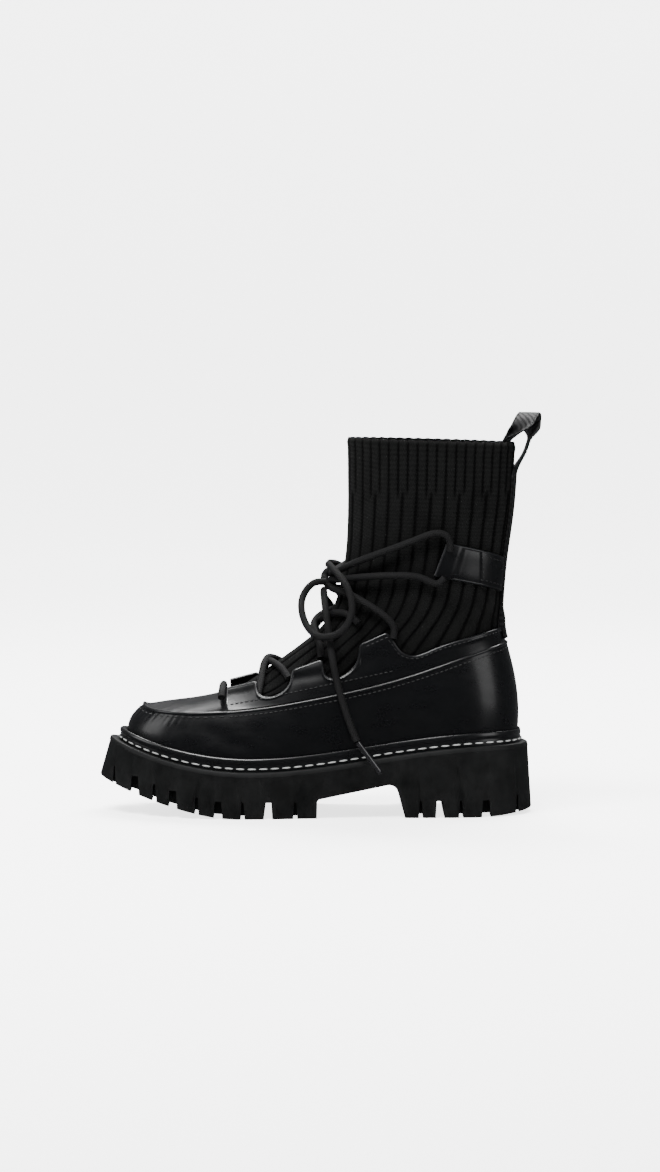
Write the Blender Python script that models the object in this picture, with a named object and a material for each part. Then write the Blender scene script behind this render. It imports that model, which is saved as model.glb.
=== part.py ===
"""Sock boot for the left foot: a lugged platform sole, a moccasin-toe leather upper with lace tabs,
a ribbed knit sock shaft, a back strip that ends in a pull loop, two ankle straps and a round lace.

Metres, +Z up. The toe points to -X, the heel to +X, and the outer side of the foot is -Y.
Lengths along the foot are measured from the back of the heel, heights from the floor.
"""
import math

import bmesh
import bpy
from mathutils import Vector

GAP = 0.0003

# The last: the leather's outer length and width at the sole, and where its heel back lies
LAST_LENGTH = 0.2514
BALL_WIDTH = 0.0900
HEEL_BACK = 0.1274
TOE_SWING = 0.0060
HEEL_RISE = 0.0630
BOOT_RISE = 0.1959
COLLAR_DEPTH = 0.1079
COLLAR_WIDTH = 0.0540

# The walls
LEATHER_WALL = 0.0020
PANEL_WALL = 0.0018
SOCK_WALL = 0.0022
SOCK_ROOM = 0.0006
INSOLE_THICKNESS = 0.0030
INSOLE_ROOM = 0.0006

# The sole: heights of its top at the toe tip, the ball and the heel
TOE_STACK = 0.0488
BALL_STACK = 0.0300
HEEL_STACK = 0.0457
BALL_PLACE = 0.682
SEAT_PLACE = 0.049
TOE_SPRING = 0.0236
SPRING_PLACE = 0.730
HEEL_BEVEL = 0.0032
BEVEL_PLACE = 0.095
WELT_AT_TOE = 0.0050
WELT_AT_SIDE = 0.0031
WELT_AT_HEEL = 0.0030
LEDGE_AT_TOE = 0.0062
LEDGE_AT_SIDE = 0.0032
LEDGE_AT_HEEL = 0.0043
FLARE_AT_TOE = 0.0066
FLARE_AT_SIDE = 0.0006
FLARE_AT_HEEL = 0.0027
WAIST_TUCK = 0.0050
WAIST_PLACE = 0.53
WAIST_REACH = 0.16
EDGE_ROUND = 0.0010
RIDGE_DROP = 0.0030
RIDGE_STEP = 0.0006
WELT_BAND = 0.0042
WELT_BEAD = 0.0040

# The tread
LUG_DEPTH = 0.0108
LUG_REACH = 0.0200
WIDE_NOTCH = 0.0042
NARROW_NOTCH = 0.0014
SIPE_NOTCH = 0.0007
NOTCH_TAPER = 0.0018
CHANNEL_WIDTH = 0.0045
CHANNEL_DEPTH = 0.0085
ARCH_FRONT = 0.512
ARCH_REAR = 0.288
ARCH_LOW = 0.0124
ARCH_HIGH = 0.0212
ARCH_CORNER = 0.0055
BREAST_LEAN = 0.0045

FRONT_COLUMNS = 12
REAR_COLUMNS = 18
SIDE_ROWS = 7
APRON_ROWS = 5
SOCK_ROWS = 15
SOCK_FRONT_COLUMNS = 8
SOCK_REAR_COLUMNS = 13
SOCK_LOWEST = 0.06

RING_SHARES = (0.1, 0.3, 0.5, 0.7, 0.9)

# Half widths of the leather at the sole, as shares of the ball width, and the sideways swing of its
# middle line, as shares of the toe's swing, at the five shares of the length from toe to heel
FEATHER_WIDTHS = (0.365, 0.500, 0.428, 0.372, 0.345)
FEATHER_SWING = (0.75, 0.17, -0.42, -0.17, 0.00)

# How far a ring's sides hang below the straight line from its front to its rear, as a share of its drop
DROP_SHAPE = (0.62, 1.00, 0.97, 0.76, 0.19)

# Rings of the foot inside the leather, low to high. Lengths from the heel back are shares of the last's
# length, heights above the heel seat are shares of the heel's rise, half widths are shares of the ball width.
# front place, front height, rear place, rear height, drop, then the half width at the five shares
FOOT_RINGS = (
    (0.955, 0.338, 0.0330, 1.000, 0.190, (0.345, 0.420, 0.402, 0.360, 0.296)),
    (0.849, 0.390, 0.0390, 1.068, 0.080, (0.255, 0.386, 0.384, 0.353, 0.288)),
    (0.745, 0.478, 0.0430, 1.148, 0.048, (0.292, 0.372, 0.369, 0.340, 0.279)),
    (0.648, 0.719, 0.0445, 1.243, 0.024, (0.222, 0.339, 0.351, 0.331, 0.268)),
    (0.556, 0.981, 0.0420, 1.362, 0.000, (0.217, 0.320, 0.344, 0.331, 0.250)),
)

# Rings of the knit shaft. The rear place is a share of the last's length, the front is measured from
# the rear as a share of the collar's depth, heights are shares of the boot's rise, half widths of the collar width.
# depth, front height, rear place, rear height, then the half width at the five shares
SHAFT_RINGS = (
    (1.036, 0.407, 0.0400, 0.481, (0.324, 0.509, 0.570, 0.537, 0.370)),
    (0.967, 0.522, 0.0360, 0.548, (0.306, 0.487, 0.546, 0.506, 0.333)),
    (0.952, 0.645, 0.0280, 0.640, (0.296, 0.469, 0.524, 0.481, 0.315)),
    (0.978, 0.803, 0.0130, 0.788, (0.296, 0.463, 0.511, 0.469, 0.302)),
    (1.000, 1.000, 0.0044, 0.984, (0.293, 0.456, 0.500, 0.459, 0.296)),
)

# The side wall of the leather: how sharply it turns in towards the seam, and how far it swells
TURN_AT_TOE = 3.4
TURN_AT_SIDE = 1.7
TURN_AT_HEEL = 2.2
SWELL_AT_TOE = 0.0004
SWELL_AT_SIDE = 0.0016
SWELL_AT_HEEL = 0.0022
PIPING = 0.0009

# The throat: where the apron ends and the lace tabs begin
THROAT_PLACE = 0.738
SOCK_TUCK = 0.0080

# The tab panel's corners, seen from the side: place as a share of the last's length from the heel back,
# height above the heel seat as a share of the heel's rise
TAB_CORNERS = (
    ("first front", 0.740, 0.578),
    ("first rear", 0.668, 0.649),
    ("second front", 0.574, 0.763),
    ("second rear", 0.500, 0.867),
    ("third front", 0.401, 1.020),
    ("third rear", 0.335, 1.137),
)
HEEL_EDGE = ((0.319, 1.052), (0.298, 0.944), (0.276, 0.905), (0.216, 0.967), (0.137, 1.065), (0.000, 1.200))
SCOOP_DEPTH = 0.0129
PANEL_ROWS = 4
PANEL_COLUMNS = 20
PANEL_START = 0.16
PANEL_SPARE = 0.006

# The back strip and its pull loop: the loop's middle line from the heel back and the collar's height
STRIP_WIDTH = 0.0150
STRIP_WALL = 0.0019
STRIP_FOOT = 1.045
STRIP_LEAVES = 0.880
STRIP_STEPS = 12
STRIP_BOW = 0.0036
LOOP_HUGS_FROM = 9
LOOP_PATH = (
    (0.0035, -0.0130),
    (0.0066, -0.0050),
    (0.0092, 0.0024),
    (0.0112, 0.0064),
    (0.0134, 0.0112),
    (0.0135, 0.0140),
    (0.0122, 0.0152),
    (0.0100, 0.0146),
    (0.0062, 0.0124),
    (0.0034, 0.0096),
    (0.0015, 0.0058),
    (-0.0006, 0.0020),
    (-0.0036, -0.0008),
    (-0.0056, -0.0044),
    (-0.0062, -0.0110),
    (-0.0066, -0.0160),
)

# The ankle straps: place of the front end as a share of the shaft's depth, the rear end as an angle
# from the rear, heights as shares of the boot's rise
STRAP_FRONT = 0.600
STRAP_REAR = 0.275
STRAP_HEIGHT = 0.604
STRAP_SLOPE = 0.052
STRAP_WIDTH = 0.0200
STRAP_WALL = 0.0022
STRAP_SLANT = 0.10
STRAP_STEPS = 8
TUNNEL_RISE = 0.0016

# The lace. Routes are chosen by hand, points as x, y, z
LACE = 0.0045
AGLET = 0.0034
CORD_STEP = 2.4
CROSSING_CLEAR = 0.0008
BAR_X = -0.0622
BAR_ROUTE = ((-0.0300, 0.0785), (-0.0200, 0.0800), (0.0, 0.0812), (0.0200, 0.0800), (0.0300, 0.0785))
CROSSINGS = (
    ("lace_crossing_low", (0.655, 0.630, 0.585, 0.0270, 0.0250)),
    ("lace_crossing_high", (0.497, 0.500, 0.413, 0.0240, 0.0225)),
)
CORD_NAMES = ("lace_loop", "lace_end", "lace_knot", "aglet")
KNOT = (0.0070, 0.0, 0.1520)
KNOT_SIZE = (0.0110, 0.0130, 0.0120)
SHAFT_RUNS = (
    ("tab_run", ((0.0475, 0.0345, 0.1145), (0.0480, 0.0345, 0.1200), (0.0410, 0.0345, 0.1295),
                 (0.0310, 0.0305, 0.1360), (0.0225, 0.0245, 0.1405), (0.0150, 0.0155, 0.1430),
                 (0.0090, 0.0085, 0.1445))),
    ("upper_run", ((0.0120, 0.0105, 0.1560), (0.0200, 0.0195, 0.1605), (0.0360, 0.0285, 0.1675),
                   (0.0520, 0.0315, 0.1735), (0.0660, 0.0325, 0.1790), (0.0750, 0.0325, 0.1815),
                   (0.0810, 0.0320, 0.1800), (0.0830, 0.0316, 0.1770))),
    ("lower_run", ((0.0120, 0.0115, 0.1505), (0.0200, 0.0210, 0.1520), (0.0360, 0.0300, 0.1540),
                   (0.0520, 0.0330, 0.1545), (0.0680, 0.0340, 0.1520), (0.0760, 0.0340, 0.1495))),
)
OUTER_LOOP = ((0.0040, -0.0090, 0.1490), (-0.0030, -0.0120, 0.1485), (-0.0090, -0.0140, 0.1425),
              (-0.0112, -0.0215, 0.1330), (-0.0064, -0.0320, 0.1205), (0.0010, -0.0395, 0.1160),
              (0.0135, -0.0420, 0.1190), (0.0210, -0.0410, 0.1320), (0.0195, -0.0360, 0.1440),
              (0.0125, -0.0230, 0.1545), (0.0060, -0.0090, 0.1605))
INNER_LOOP = ((0.0040, 0.0090, 0.1500), (0.0045, 0.0190, 0.1480), (0.0100, 0.0300, 0.1430),
              (0.0160, 0.0370, 0.1330), (0.0200, 0.0400, 0.1220), (0.0280, 0.0410, 0.1150),
              (0.0370, 0.0415, 0.1170), (0.0400, 0.0405, 0.1260), (0.0340, 0.0400, 0.1370),
              (0.0240, 0.0380, 0.1480), (0.0140, 0.0280, 0.1570), (0.0070, 0.0110, 0.1600))
OUTER_END = ((0.0032, -0.0080, 0.1425), (0.0035, -0.0180, 0.1375), (0.0050, -0.0285, 0.1270),
             (0.0068, -0.0345, 0.1140), (0.0090, -0.0412, 0.1000), (0.0115, -0.0420, 0.0880),
             (0.0145, -0.0435, 0.0770), (0.0180, -0.0450, 0.0660), (0.0215, -0.0468, 0.0565),
             (0.0243, -0.0485, 0.0500))
OUTER_TIP = ((0.0247, -0.0488, 0.0492), (0.0320, -0.0500, 0.0395), (0.0394, -0.0508, 0.0296))
INNER_END = ((0.0032, 0.0080, 0.1425), (0.0035, 0.0185, 0.1375), (0.0090, 0.0290, 0.1290),
             (0.0130, 0.0360, 0.1170), (0.0170, 0.0400, 0.1030), (0.0200, 0.0425, 0.0900),
             (0.0240, 0.0440, 0.0780), (0.0280, 0.0450, 0.0680), (0.0315, 0.0460, 0.0600))
INNER_TIP = ((0.0318, 0.0461, 0.0592), (0.0370, 0.0470, 0.0480), (0.0420, 0.0480, 0.0370))

# Notches along one side of the sole: place as a share of the sole's length from the toe, and width
NOTCHES = (
    (0.036, SIPE_NOTCH),
    (0.085, WIDE_NOTCH),
    (0.131, NARROW_NOTCH),
    (0.174, WIDE_NOTCH),
    (0.229, NARROW_NOTCH),
    (0.278, WIDE_NOTCH),
    (0.334, NARROW_NOTCH),
    (0.392, WIDE_NOTCH),
    (0.454, NARROW_NOTCH),
    (0.741, NARROW_NOTCH),
    (0.785, WIDE_NOTCH),
    (0.833, NARROW_NOTCH),
    (0.891, WIDE_NOTCH),
    (0.964, SIPE_NOTCH),
)


class Spline:
    """A smooth curve through a few (place, value) pairs, straight past both ends."""

    def __init__(self, places, values):
        count = len(places)
        self.places = list(places)
        self.values = list(values)
        self.bends = [0.0] * count
        slopes = [0.0] * count
        for i in range(1, count - 1):
            left = places[i] - places[i - 1]
            both = places[i + 1] - places[i - 1]
            share = left / both
            pivot = share * self.bends[i - 1] + 2.0
            jump = ((values[i + 1] - values[i]) / (places[i + 1] - places[i])
                    - (values[i] - values[i - 1]) / left)
            self.bends[i] = (share - 1.0) / pivot
            slopes[i] = (6.0 * jump / both - share * slopes[i - 1]) / pivot
        for i in range(count - 2, 0, -1):
            self.bends[i] = self.bends[i] * self.bends[i + 1] + slopes[i]
        self.bends[0] = 0.0
        self.bends[-1] = 0.0

    def __call__(self, place):
        low = 0
        for i in range(1, len(self.places) - 1):
            if place >= self.places[i]:
                low = i
        span = self.places[low + 1] - self.places[low]
        b = (place - self.places[low]) / span
        a = 1.0 - b
        value = a * self.values[low] + b * self.values[low + 1]
        if 0.0 <= a <= 1.0:
            bend = (a ** 3 - a) * self.bends[low] + (b ** 3 - b) * self.bends[low + 1]
            value += bend * span * span / 6.0
        return value


def smooth_step(share):
    """Rise from 0 to 1 with level ends."""
    share = min(max(share, 0.0), 1.0)
    return share * share * (3.0 - 2.0 * share)


def turn_of(share):
    """The angle round a ring, from 0 at the front to pi at the rear, at a share of its length."""
    return math.acos(1.0 - 2.0 * min(max(share, 0.0), 1.0))


RING_TURNS = tuple(turn_of(share) for share in RING_SHARES)


def ring_curve(front, middle, rear):
    """A smooth curve in the turn round a ring through its end values and its five middle values."""
    return Spline((0.0,) + RING_TURNS + (math.pi,), (front,) + tuple(middle) + (rear,))


# The foot inside the leather, and the knit shaft, as one tube of rings


def ring_rows():
    """Each ring as front x, front z, rear x, rear z, drop and the five half widths, in metres."""
    rows = []
    for front, front_z, rear, rear_z, drop, widths in FOOT_RINGS:
        rows.append((HEEL_BACK - front * LAST_LENGTH, HEEL_STACK + front_z * HEEL_RISE,
                     HEEL_BACK - rear * LAST_LENGTH, HEEL_STACK + rear_z * HEEL_RISE,
                     drop * HEEL_RISE) + tuple(w * BALL_WIDTH for w in widths))
    for depth, front_z, rear, rear_z, widths in SHAFT_RINGS:
        back = HEEL_BACK - rear * LAST_LENGTH
        rows.append((back - depth * COLLAR_DEPTH, HEEL_STACK + front_z * BOOT_RISE,
                     back, HEEL_STACK + rear_z * BOOT_RISE,
                     0.0) + tuple(w * COLLAR_WIDTH for w in widths))
    return rows


RING_COUNT = len(FOOT_RINGS) + len(SHAFT_RINGS)
TOP_RING = float(RING_COUNT - 1)
RING_COLUMNS = [Spline(range(RING_COUNT), column) for column in zip(*ring_rows())]
DROP_CURVE = ring_curve(0.0, DROP_SHAPE, 0.0)
SWING_CURVE = ring_curve(1.0, FEATHER_SWING, 0.0)
FEATHER_CURVE = ring_curve(0.0, FEATHER_WIDTHS, 0.0)
SWING_FADE = 4.0


def swing(turn, level):
    """How far a ring's middle line is swung towards the inner side of the foot."""
    fade = max(0.0, 1.0 - max(level, 0.0) / SWING_FADE)
    return SWING_CURVE(turn) * TOE_SWING * fade


RING_CACHE = {}


def ring_at(level):
    """The sizes and the half-width curve of the ring at a level."""
    key = round(level, 6)
    if key not in RING_CACHE:
        sizes = [column(level) for column in RING_COLUMNS]
        RING_CACHE[key] = (sizes[:5], ring_curve(0.0, sizes[5:], 0.0))
    return RING_CACHE[key]


def form(angle, level):
    """A point on the foot or shaft. Angle 0 is the front, positive is the outer side, pi the rear."""
    turn = abs(angle)
    side = -1.0 if angle > 0.0 else 1.0
    (front_x, front_z, rear_x, rear_z, drop), width = ring_at(level)
    share = (1.0 - math.cos(turn)) / 2.0
    return Vector((front_x + (rear_x - front_x) * share,
                   side * width(turn) + swing(turn, level),
                   front_z + (rear_z - front_z) * share - drop * DROP_CURVE(turn)))


def surface_normal(surface, angle, height):
    """The outward normal of a surface given as a function of the angle round and a height."""
    step = 0.01
    around = surface(angle + step, height) - surface(angle - step, height)
    low = max(height - step, 0.0)
    upward = surface(angle, height + step) - surface(angle, low)
    normal = around.cross(upward)
    return normal.normalized()


def form_out(angle, level, distance):
    """A point at a distance outside the foot or shaft."""
    turned = math.remainder(angle, 2.0 * math.pi)
    return form(turned, level) + surface_normal(wrapped_form, turned, level) * distance


def wrapped_form(angle, level):
    """The form at any angle, past the front or the rear too."""
    return form(math.remainder(angle, 2.0 * math.pi), level)


# The sole's top and bottom, and the outline of the leather on it


def sole_top(x):
    """Height of the sole's top: high at the toe, low at the ball, high under the heel."""
    ball = HEEL_BACK - BALL_PLACE * LAST_LENGTH
    seat = HEEL_BACK - SEAT_PLACE * LAST_LENGTH
    tip = HEEL_BACK - LAST_LENGTH - WELT_AT_TOE - LEDGE_AT_TOE
    if x < ball:
        return BALL_STACK + (TOE_STACK - BALL_STACK) * ((ball - x) / (ball - tip)) ** 2
    return BALL_STACK + (HEEL_STACK - BALL_STACK) * smooth_step((x - ball) / (seat - ball))


def sole_bottom(x):
    """Height of the lugs' feet: toe spring in front, a slight bevel behind the heel."""
    tip = HEEL_BACK - LAST_LENGTH - WELT_AT_TOE - LEDGE_AT_TOE - FLARE_AT_TOE
    spring = HEEL_BACK - SPRING_PLACE * LAST_LENGTH
    bevel = HEEL_BACK - BEVEL_PLACE * LAST_LENGTH
    back = HEEL_BACK + WELT_AT_HEEL + LEDGE_AT_HEEL + FLARE_AT_HEEL
    if x < spring:
        return TOE_SPRING * ((spring - x) / (spring - tip)) ** 1.5
    if x > bevel:
        return HEEL_BEVEL * ((x - bevel) / (back - bevel)) ** 1.5
    return 0.0


def feather(angle):
    """The leather's outer outline where it meets the sole, as a flat point."""
    turned = math.remainder(angle, 2.0 * math.pi)
    turn = abs(turned)
    side = -1.0 if turned > 0.0 else 1.0
    share = (1.0 - math.cos(turn)) / 2.0
    return Vector((HEEL_BACK - LAST_LENGTH * (1.0 - share),
                   side * FEATHER_CURVE(turn) * BALL_WIDTH + swing(turn, 0.0), 0.0))


def feather_normal(angle):
    """The flat outward normal of the leather's outline."""
    step = 0.01
    along = feather(angle + step) - feather(angle - step)
    return Vector((-along.y, along.x, 0.0)).normalized() * -1.0


def by_facing(normal, toe, side, heel):
    """Blend three sizes by which way an outline faces: to the toe, the side or the heel."""
    forward = max(0.0, -normal.x) ** 2
    backward = max(0.0, normal.x) ** 2
    return side + (toe - side) * forward + (heel - side) * backward


def outline(angle, toe, side, heel):
    """The leather's outline moved outwards by sizes that differ at toe, side and heel."""
    normal = feather_normal(angle)
    return feather(angle) + normal * by_facing(normal, toe, side, heel)


# The leather upper


def seam(angle):
    """The line that the side panel's top edge follows, round the toe and up to the heel."""
    return form_out(angle, 0.0, GAP + LEATHER_WALL)


def side_panel(angle, height):
    """The leather's outside between the sole (0) and the seam line (1)."""
    foot = feather(angle)
    normal = feather_normal(angle)
    base = sole_top(foot.x) + GAP
    top = seam(angle)
    power = by_facing(normal, TURN_AT_TOE, TURN_AT_SIDE, TURN_AT_HEEL)
    swell = by_facing(normal, SWELL_AT_TOE, SWELL_AT_SIDE, SWELL_AT_HEEL)
    share = max(height, 0.0) ** power
    bulge = swell * math.sin(math.pi * min(max(height, 0.0), 1.0) ** 0.8)
    return Vector((foot.x + (top.x - foot.x) * share + normal.x * bulge,
                   foot.y + (top.y - foot.y) * share + normal.y * bulge,
                   base + (top.z - base) * height))


def side_panel_out(angle, height, distance):
    """A point at a distance outside the side panel; at the sole it stays on the sole's top."""
    if height <= 0.0:
        point = outline(angle, distance, distance, distance)
        point.z = sole_top(point.x) + GAP
        return point
    normal = surface_normal(side_panel, angle, min(height, 0.98))
    return side_panel(angle, height) + normal * distance


def level_at(angle, x, top=TOP_RING):
    """The level at which the line from the seam up the form passes a place along the foot."""
    low, high = 0.0, top
    if form(angle, 0.0).x >= x:
        return 0.0
    for _ in range(40):
        middle = (low + high) / 2.0
        if form(angle, middle).x < x:
            low = middle
        else:
            high = middle
    return (low + high) / 2.0


def angle_at(x, level=0.0):
    """The angle at which a ring passes a place along the foot."""
    front_x = RING_COLUMNS[0](level)
    rear_x = RING_COLUMNS[2](level)
    return turn_of((x - front_x) / (rear_x - front_x))


def throat_x():
    """Where the apron ends."""
    return HEEL_BACK - THROAT_PLACE * LAST_LENGTH


def column_angles():
    """Angles round the boot from front to front, with a pair exactly where the apron's edge meets the seam."""
    corner = angle_at(throat_x())
    half = [corner * i / FRONT_COLUMNS for i in range(FRONT_COLUMNS)]
    half += [corner + (math.pi - corner) * i / REAR_COLUMNS for i in range(REAR_COLUMNS + 1)]
    return half + [-angle for angle in reversed(half[1:-1])]


# Meshes and objects


def material(name, colour, roughness, metallic=0.0):
    """A plain finish for one sub-part."""
    finish = bpy.data.materials.get(name)
    if finish is None:
        finish = bpy.data.materials.new(name)
        finish.use_nodes = True
        shader = finish.node_tree.nodes["Principled BSDF"]
        shader.inputs["Base Color"].default_value = colour + (1.0,)
        shader.inputs["Roughness"].default_value = roughness
        shader.inputs["Metallic"].default_value = metallic
    return finish


def add_object(name, mesh_data, finish, cutter=False):
    """Link a bmesh into the scene as a named object."""
    bmesh.ops.remove_doubles(mesh_data, verts=mesh_data.verts, dist=0.00001)
    bmesh.ops.dissolve_degenerate(mesh_data, edges=mesh_data.edges, dist=0.00001)
    bmesh.ops.recalc_face_normals(mesh_data, faces=mesh_data.faces)
    mesh = bpy.data.meshes.new(name)
    mesh_data.to_mesh(mesh)
    mesh_data.free()
    thing = bpy.data.objects.new(name, mesh)
    bpy.context.scene.collection.objects.link(thing)
    if finish is not None:
        mesh.materials.append(finish)
    if cutter:
        thing.hide_render = True
        thing.display_type = "WIRE"
    else:
        mesh.shade_smooth()
        mesh.set_sharp_from_angle(angle=math.radians(40.0))
    return thing


def ring_of(mesh_data, points):
    """Add a ring of vertices."""
    return [mesh_data.verts.new(point) for point in points]


def join_rings(mesh_data, lower, upper, closed=True):
    """Fill the band between two rings with the same number of points."""
    count = len(lower)
    for i in range(count if closed else count - 1):
        j = (i + 1) % count
        mesh_data.faces.new((lower[i], lower[j], upper[j], upper[i]))


def close_across(mesh_data, ring):
    """Close a ring that runs front, outer side, rear, inner side with strips from side to side."""
    half = len(ring) // 2
    mesh_data.faces.new((ring[0], ring[1], ring[-1]))
    for i in range(1, half - 1):
        mesh_data.faces.new((ring[i], ring[i + 1], ring[-i - 1], ring[-i]))
    mesh_data.faces.new((ring[half - 1], ring[half], ring[half + 1]))


def cut_with(thing, cutter):
    """Take a cutter's shape out of an object."""
    cut = thing.modifiers.new("cut_" + cutter.name, "BOOLEAN")
    cut.operation = "DIFFERENCE"
    cut.object = cutter


# Outsole, welt and insole


def sole_ring(extra_toe, extra_side, extra_heel, tuck, height):
    """A ring round the sole, outside its top edge by the given sizes, at a height given by x."""
    points = []
    for angle in column_angles():
        foot = feather(angle)
        place = (HEEL_BACK - foot.x) / LAST_LENGTH
        pinch = tuck * math.exp(-((place - WAIST_PLACE) / WAIST_REACH) ** 2)
        point = outline(angle, WELT_AT_TOE + LEDGE_AT_TOE + extra_toe,
                        WELT_AT_SIDE + LEDGE_AT_SIDE + extra_side - pinch,
                        WELT_AT_HEEL + LEDGE_AT_HEEL + extra_heel)
        point.z = height(point.x)
        points.append(point)
    return points


def tapered_block(mesh_data, x, width, side_from, side_to, top):
    """A notch cutter across the sole: narrow at its top, wider at the foot of the lugs."""
    low = sole_bottom(x) - 0.004
    wide = width + NOTCH_TAPER
    corners = []
    for z, half in ((low, wide / 2.0), (top, width / 2.0)):
        corners.append([Vector((x - half, side_from, z)), Vector((x + half, side_from, z)),
                        Vector((x + half, side_to, z)), Vector((x - half, side_to, z))])
    lower = ring_of(mesh_data, corners[0])
    upper = ring_of(mesh_data, corners[1])
    join_rings(mesh_data, lower, upper)
    mesh_data.faces.new(lower)
    mesh_data.faces.new(upper)


def sole_edge(x, outer):
    """The y of the sole's foot at a place along it, on the outer or the inner side."""
    low, high = 0.0, math.pi
    sign = 1.0 if outer else -1.0
    for _ in range(30):
        middle = (low + high) / 2.0
        point = outline(sign * middle, WELT_AT_TOE + LEDGE_AT_TOE + FLARE_AT_TOE,
                        WELT_AT_SIDE + LEDGE_AT_SIDE, WELT_AT_HEEL + LEDGE_AT_HEEL + FLARE_AT_HEEL)
        if point.x < x:
            low = middle
        else:
            high = middle
    return point.y


def sole_place(share):
    """The x at a share of the sole's length from its toe."""
    tip = HEEL_BACK - LAST_LENGTH - WELT_AT_TOE - LEDGE_AT_TOE - FLARE_AT_TOE
    back = HEEL_BACK + WELT_AT_HEEL + LEDGE_AT_HEEL + FLARE_AT_HEEL
    return tip + (back - tip) * share


def side_notches():
    """Cutters for the notches between the lugs along both sides."""
    mesh_data = bmesh.new()
    for share, width in NOTCHES:
        x = sole_place(share)
        top = sole_bottom(x) + LUG_DEPTH
        for outer in (True, False):
            edge = sole_edge(x, outer)
            sign = -1.0 if outer else 1.0
            reach = LUG_REACH + CHANNEL_WIDTH / 2.0
            reach = min(reach, abs(edge) * 0.45) if width == SIPE_NOTCH else min(reach, abs(edge) - 0.004)
            tapered_block(mesh_data, x, width, edge + sign * 0.012, edge - sign * reach, top)
    return add_object("notch_cutter", mesh_data, None, cutter=True)


def tread_channels():
    """Cutters for the two long channels between the side lugs and the middle ones, front and heel."""
    mesh_data = bmesh.new()
    for first, last, stations in ((0.115, 0.475, 8), (0.725, 0.905, 4)):
        for outer in (True, False):
            sign = -1.0 if outer else 1.0
            rows = []
            for i in range(stations):
                x = sole_place(first + (last - first) * i / (stations - 1))
                middle = sole_edge(x, outer) - sign * LUG_REACH
                low = sole_bottom(x) - 0.004
                top = sole_bottom(x) + CHANNEL_DEPTH
                half = CHANNEL_WIDTH / 2.0
                rows.append(ring_of(mesh_data, [
                    Vector((x, middle - half, low)), Vector((x, middle + half, low)),
                    Vector((x, middle + half * 0.7, top)), Vector((x, middle - half * 0.7, top))]))
            for lower, upper in zip(rows, rows[1:]):
                join_rings(mesh_data, lower, upper)
            mesh_data.faces.new(rows[0])
            mesh_data.faces.new(rows[-1])
    return add_object("channel_cutter", mesh_data, None, cutter=True)


# Grooves across the middle of the tread, between the channels, as shares of the sole's length
MIDDLE_GROOVES = (0.150, 0.202, 0.254, 0.306, 0.392, 0.430, 0.785, 0.860)


def middle_grooves():
    """Cutters for the short grooves between the middle lugs."""
    mesh_data = bmesh.new()
    for share in MIDDLE_GROOVES:
        x = sole_place(share)
        low = sole_edge(x, True) + LUG_REACH
        high = sole_edge(x, False) - LUG_REACH
        tapered_block(mesh_data, x, WIDE_NOTCH, low, high, sole_bottom(x) + CHANNEL_DEPTH)
    return add_object("middle_cutter", mesh_data, None, cutter=True)


def arch_cutter():
    """The prism that opens the arch between the forefoot's last lug and the heel's breast."""
    mesh_data = bmesh.new()
    front = HEEL_BACK - ARCH_FRONT * LAST_LENGTH
    rear = HEEL_BACK - ARCH_REAR * LAST_LENGTH
    floor = -0.010
    profile = [(front, floor), (front, ARCH_LOW - 0.0015), (front + 0.0015, ARCH_LOW)]
    centre_x = rear - BREAST_LEAN - ARCH_CORNER
    centre_z = ARCH_HIGH - ARCH_CORNER
    for i in range(5):
        bend = math.radians(100.0 - 85.0 * i / 4.0)
        profile.append((centre_x + ARCH_CORNER * math.cos(bend), centre_z + ARCH_CORNER * math.sin(bend)))
    profile.append((rear, 0.0))
    profile.append((rear + BREAST_LEAN * 0.5, floor))
    reach = BALL_WIDTH
    near = ring_of(mesh_data, [Vector((x, -reach, z)) for x, z in profile])
    far = ring_of(mesh_data, [Vector((x, reach, z)) for x, z in profile])
    join_rings(mesh_data, near, far)
    mesh_data.faces.new(near)
    mesh_data.faces.new(far)
    return add_object("arch_cutter", mesh_data, None, cutter=True)


def build_outsole(finish):
    """The unit sole: a lofted block with a rounded top edge, then arch, notches and tread cut out."""
    mesh_data = bmesh.new()
    levels = (
        (FLARE_AT_TOE, FLARE_AT_SIDE, FLARE_AT_HEEL, WAIST_TUCK, sole_bottom),
        (0.0004, 0.0002, 0.0003, 0.0, lambda x: sole_top(x) - RIDGE_DROP - RIDGE_STEP),
        (RIDGE_STEP, RIDGE_STEP, RIDGE_STEP, 0.0, lambda x: sole_top(x) - RIDGE_DROP),
        (0.0, 0.0, 0.0, 0.0, lambda x: sole_top(x) - EDGE_ROUND),
        (-EDGE_ROUND * 0.3, -EDGE_ROUND * 0.3, -EDGE_ROUND * 0.3, 0.0,
         lambda x: sole_top(x) - EDGE_ROUND * 0.3),
        (-EDGE_ROUND, -EDGE_ROUND, -EDGE_ROUND, 0.0, sole_top),
    )
    rings = [ring_of(mesh_data, sole_ring(*level)) for level in levels]
    for lower, upper in zip(rings, rings[1:]):
        join_rings(mesh_data, lower, upper)
    close_across(mesh_data, rings[0])
    close_across(mesh_data, rings[-1])
    sole = add_object("outsole", mesh_data, finish)
    for cutter in (arch_cutter(), side_notches(), tread_channels(), middle_grooves()):
        cut_with(sole, cutter)
    return sole


def welt_point(angle, out_share, rise):
    """A point of the welt's section: a share of its width outside the leather, at a rise above the sole."""
    foot = feather(angle)
    span = seam(angle).z - sole_top(foot.x)
    inner = side_panel_out(angle, rise / span, GAP)
    outer = outline(angle, WELT_AT_TOE, WELT_AT_SIDE, WELT_AT_HEEL)
    point = inner + (outer - inner) * out_share
    point.z = sole_top(point.x) + rise if out_share > 0.0 else inner.z
    return point


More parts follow.
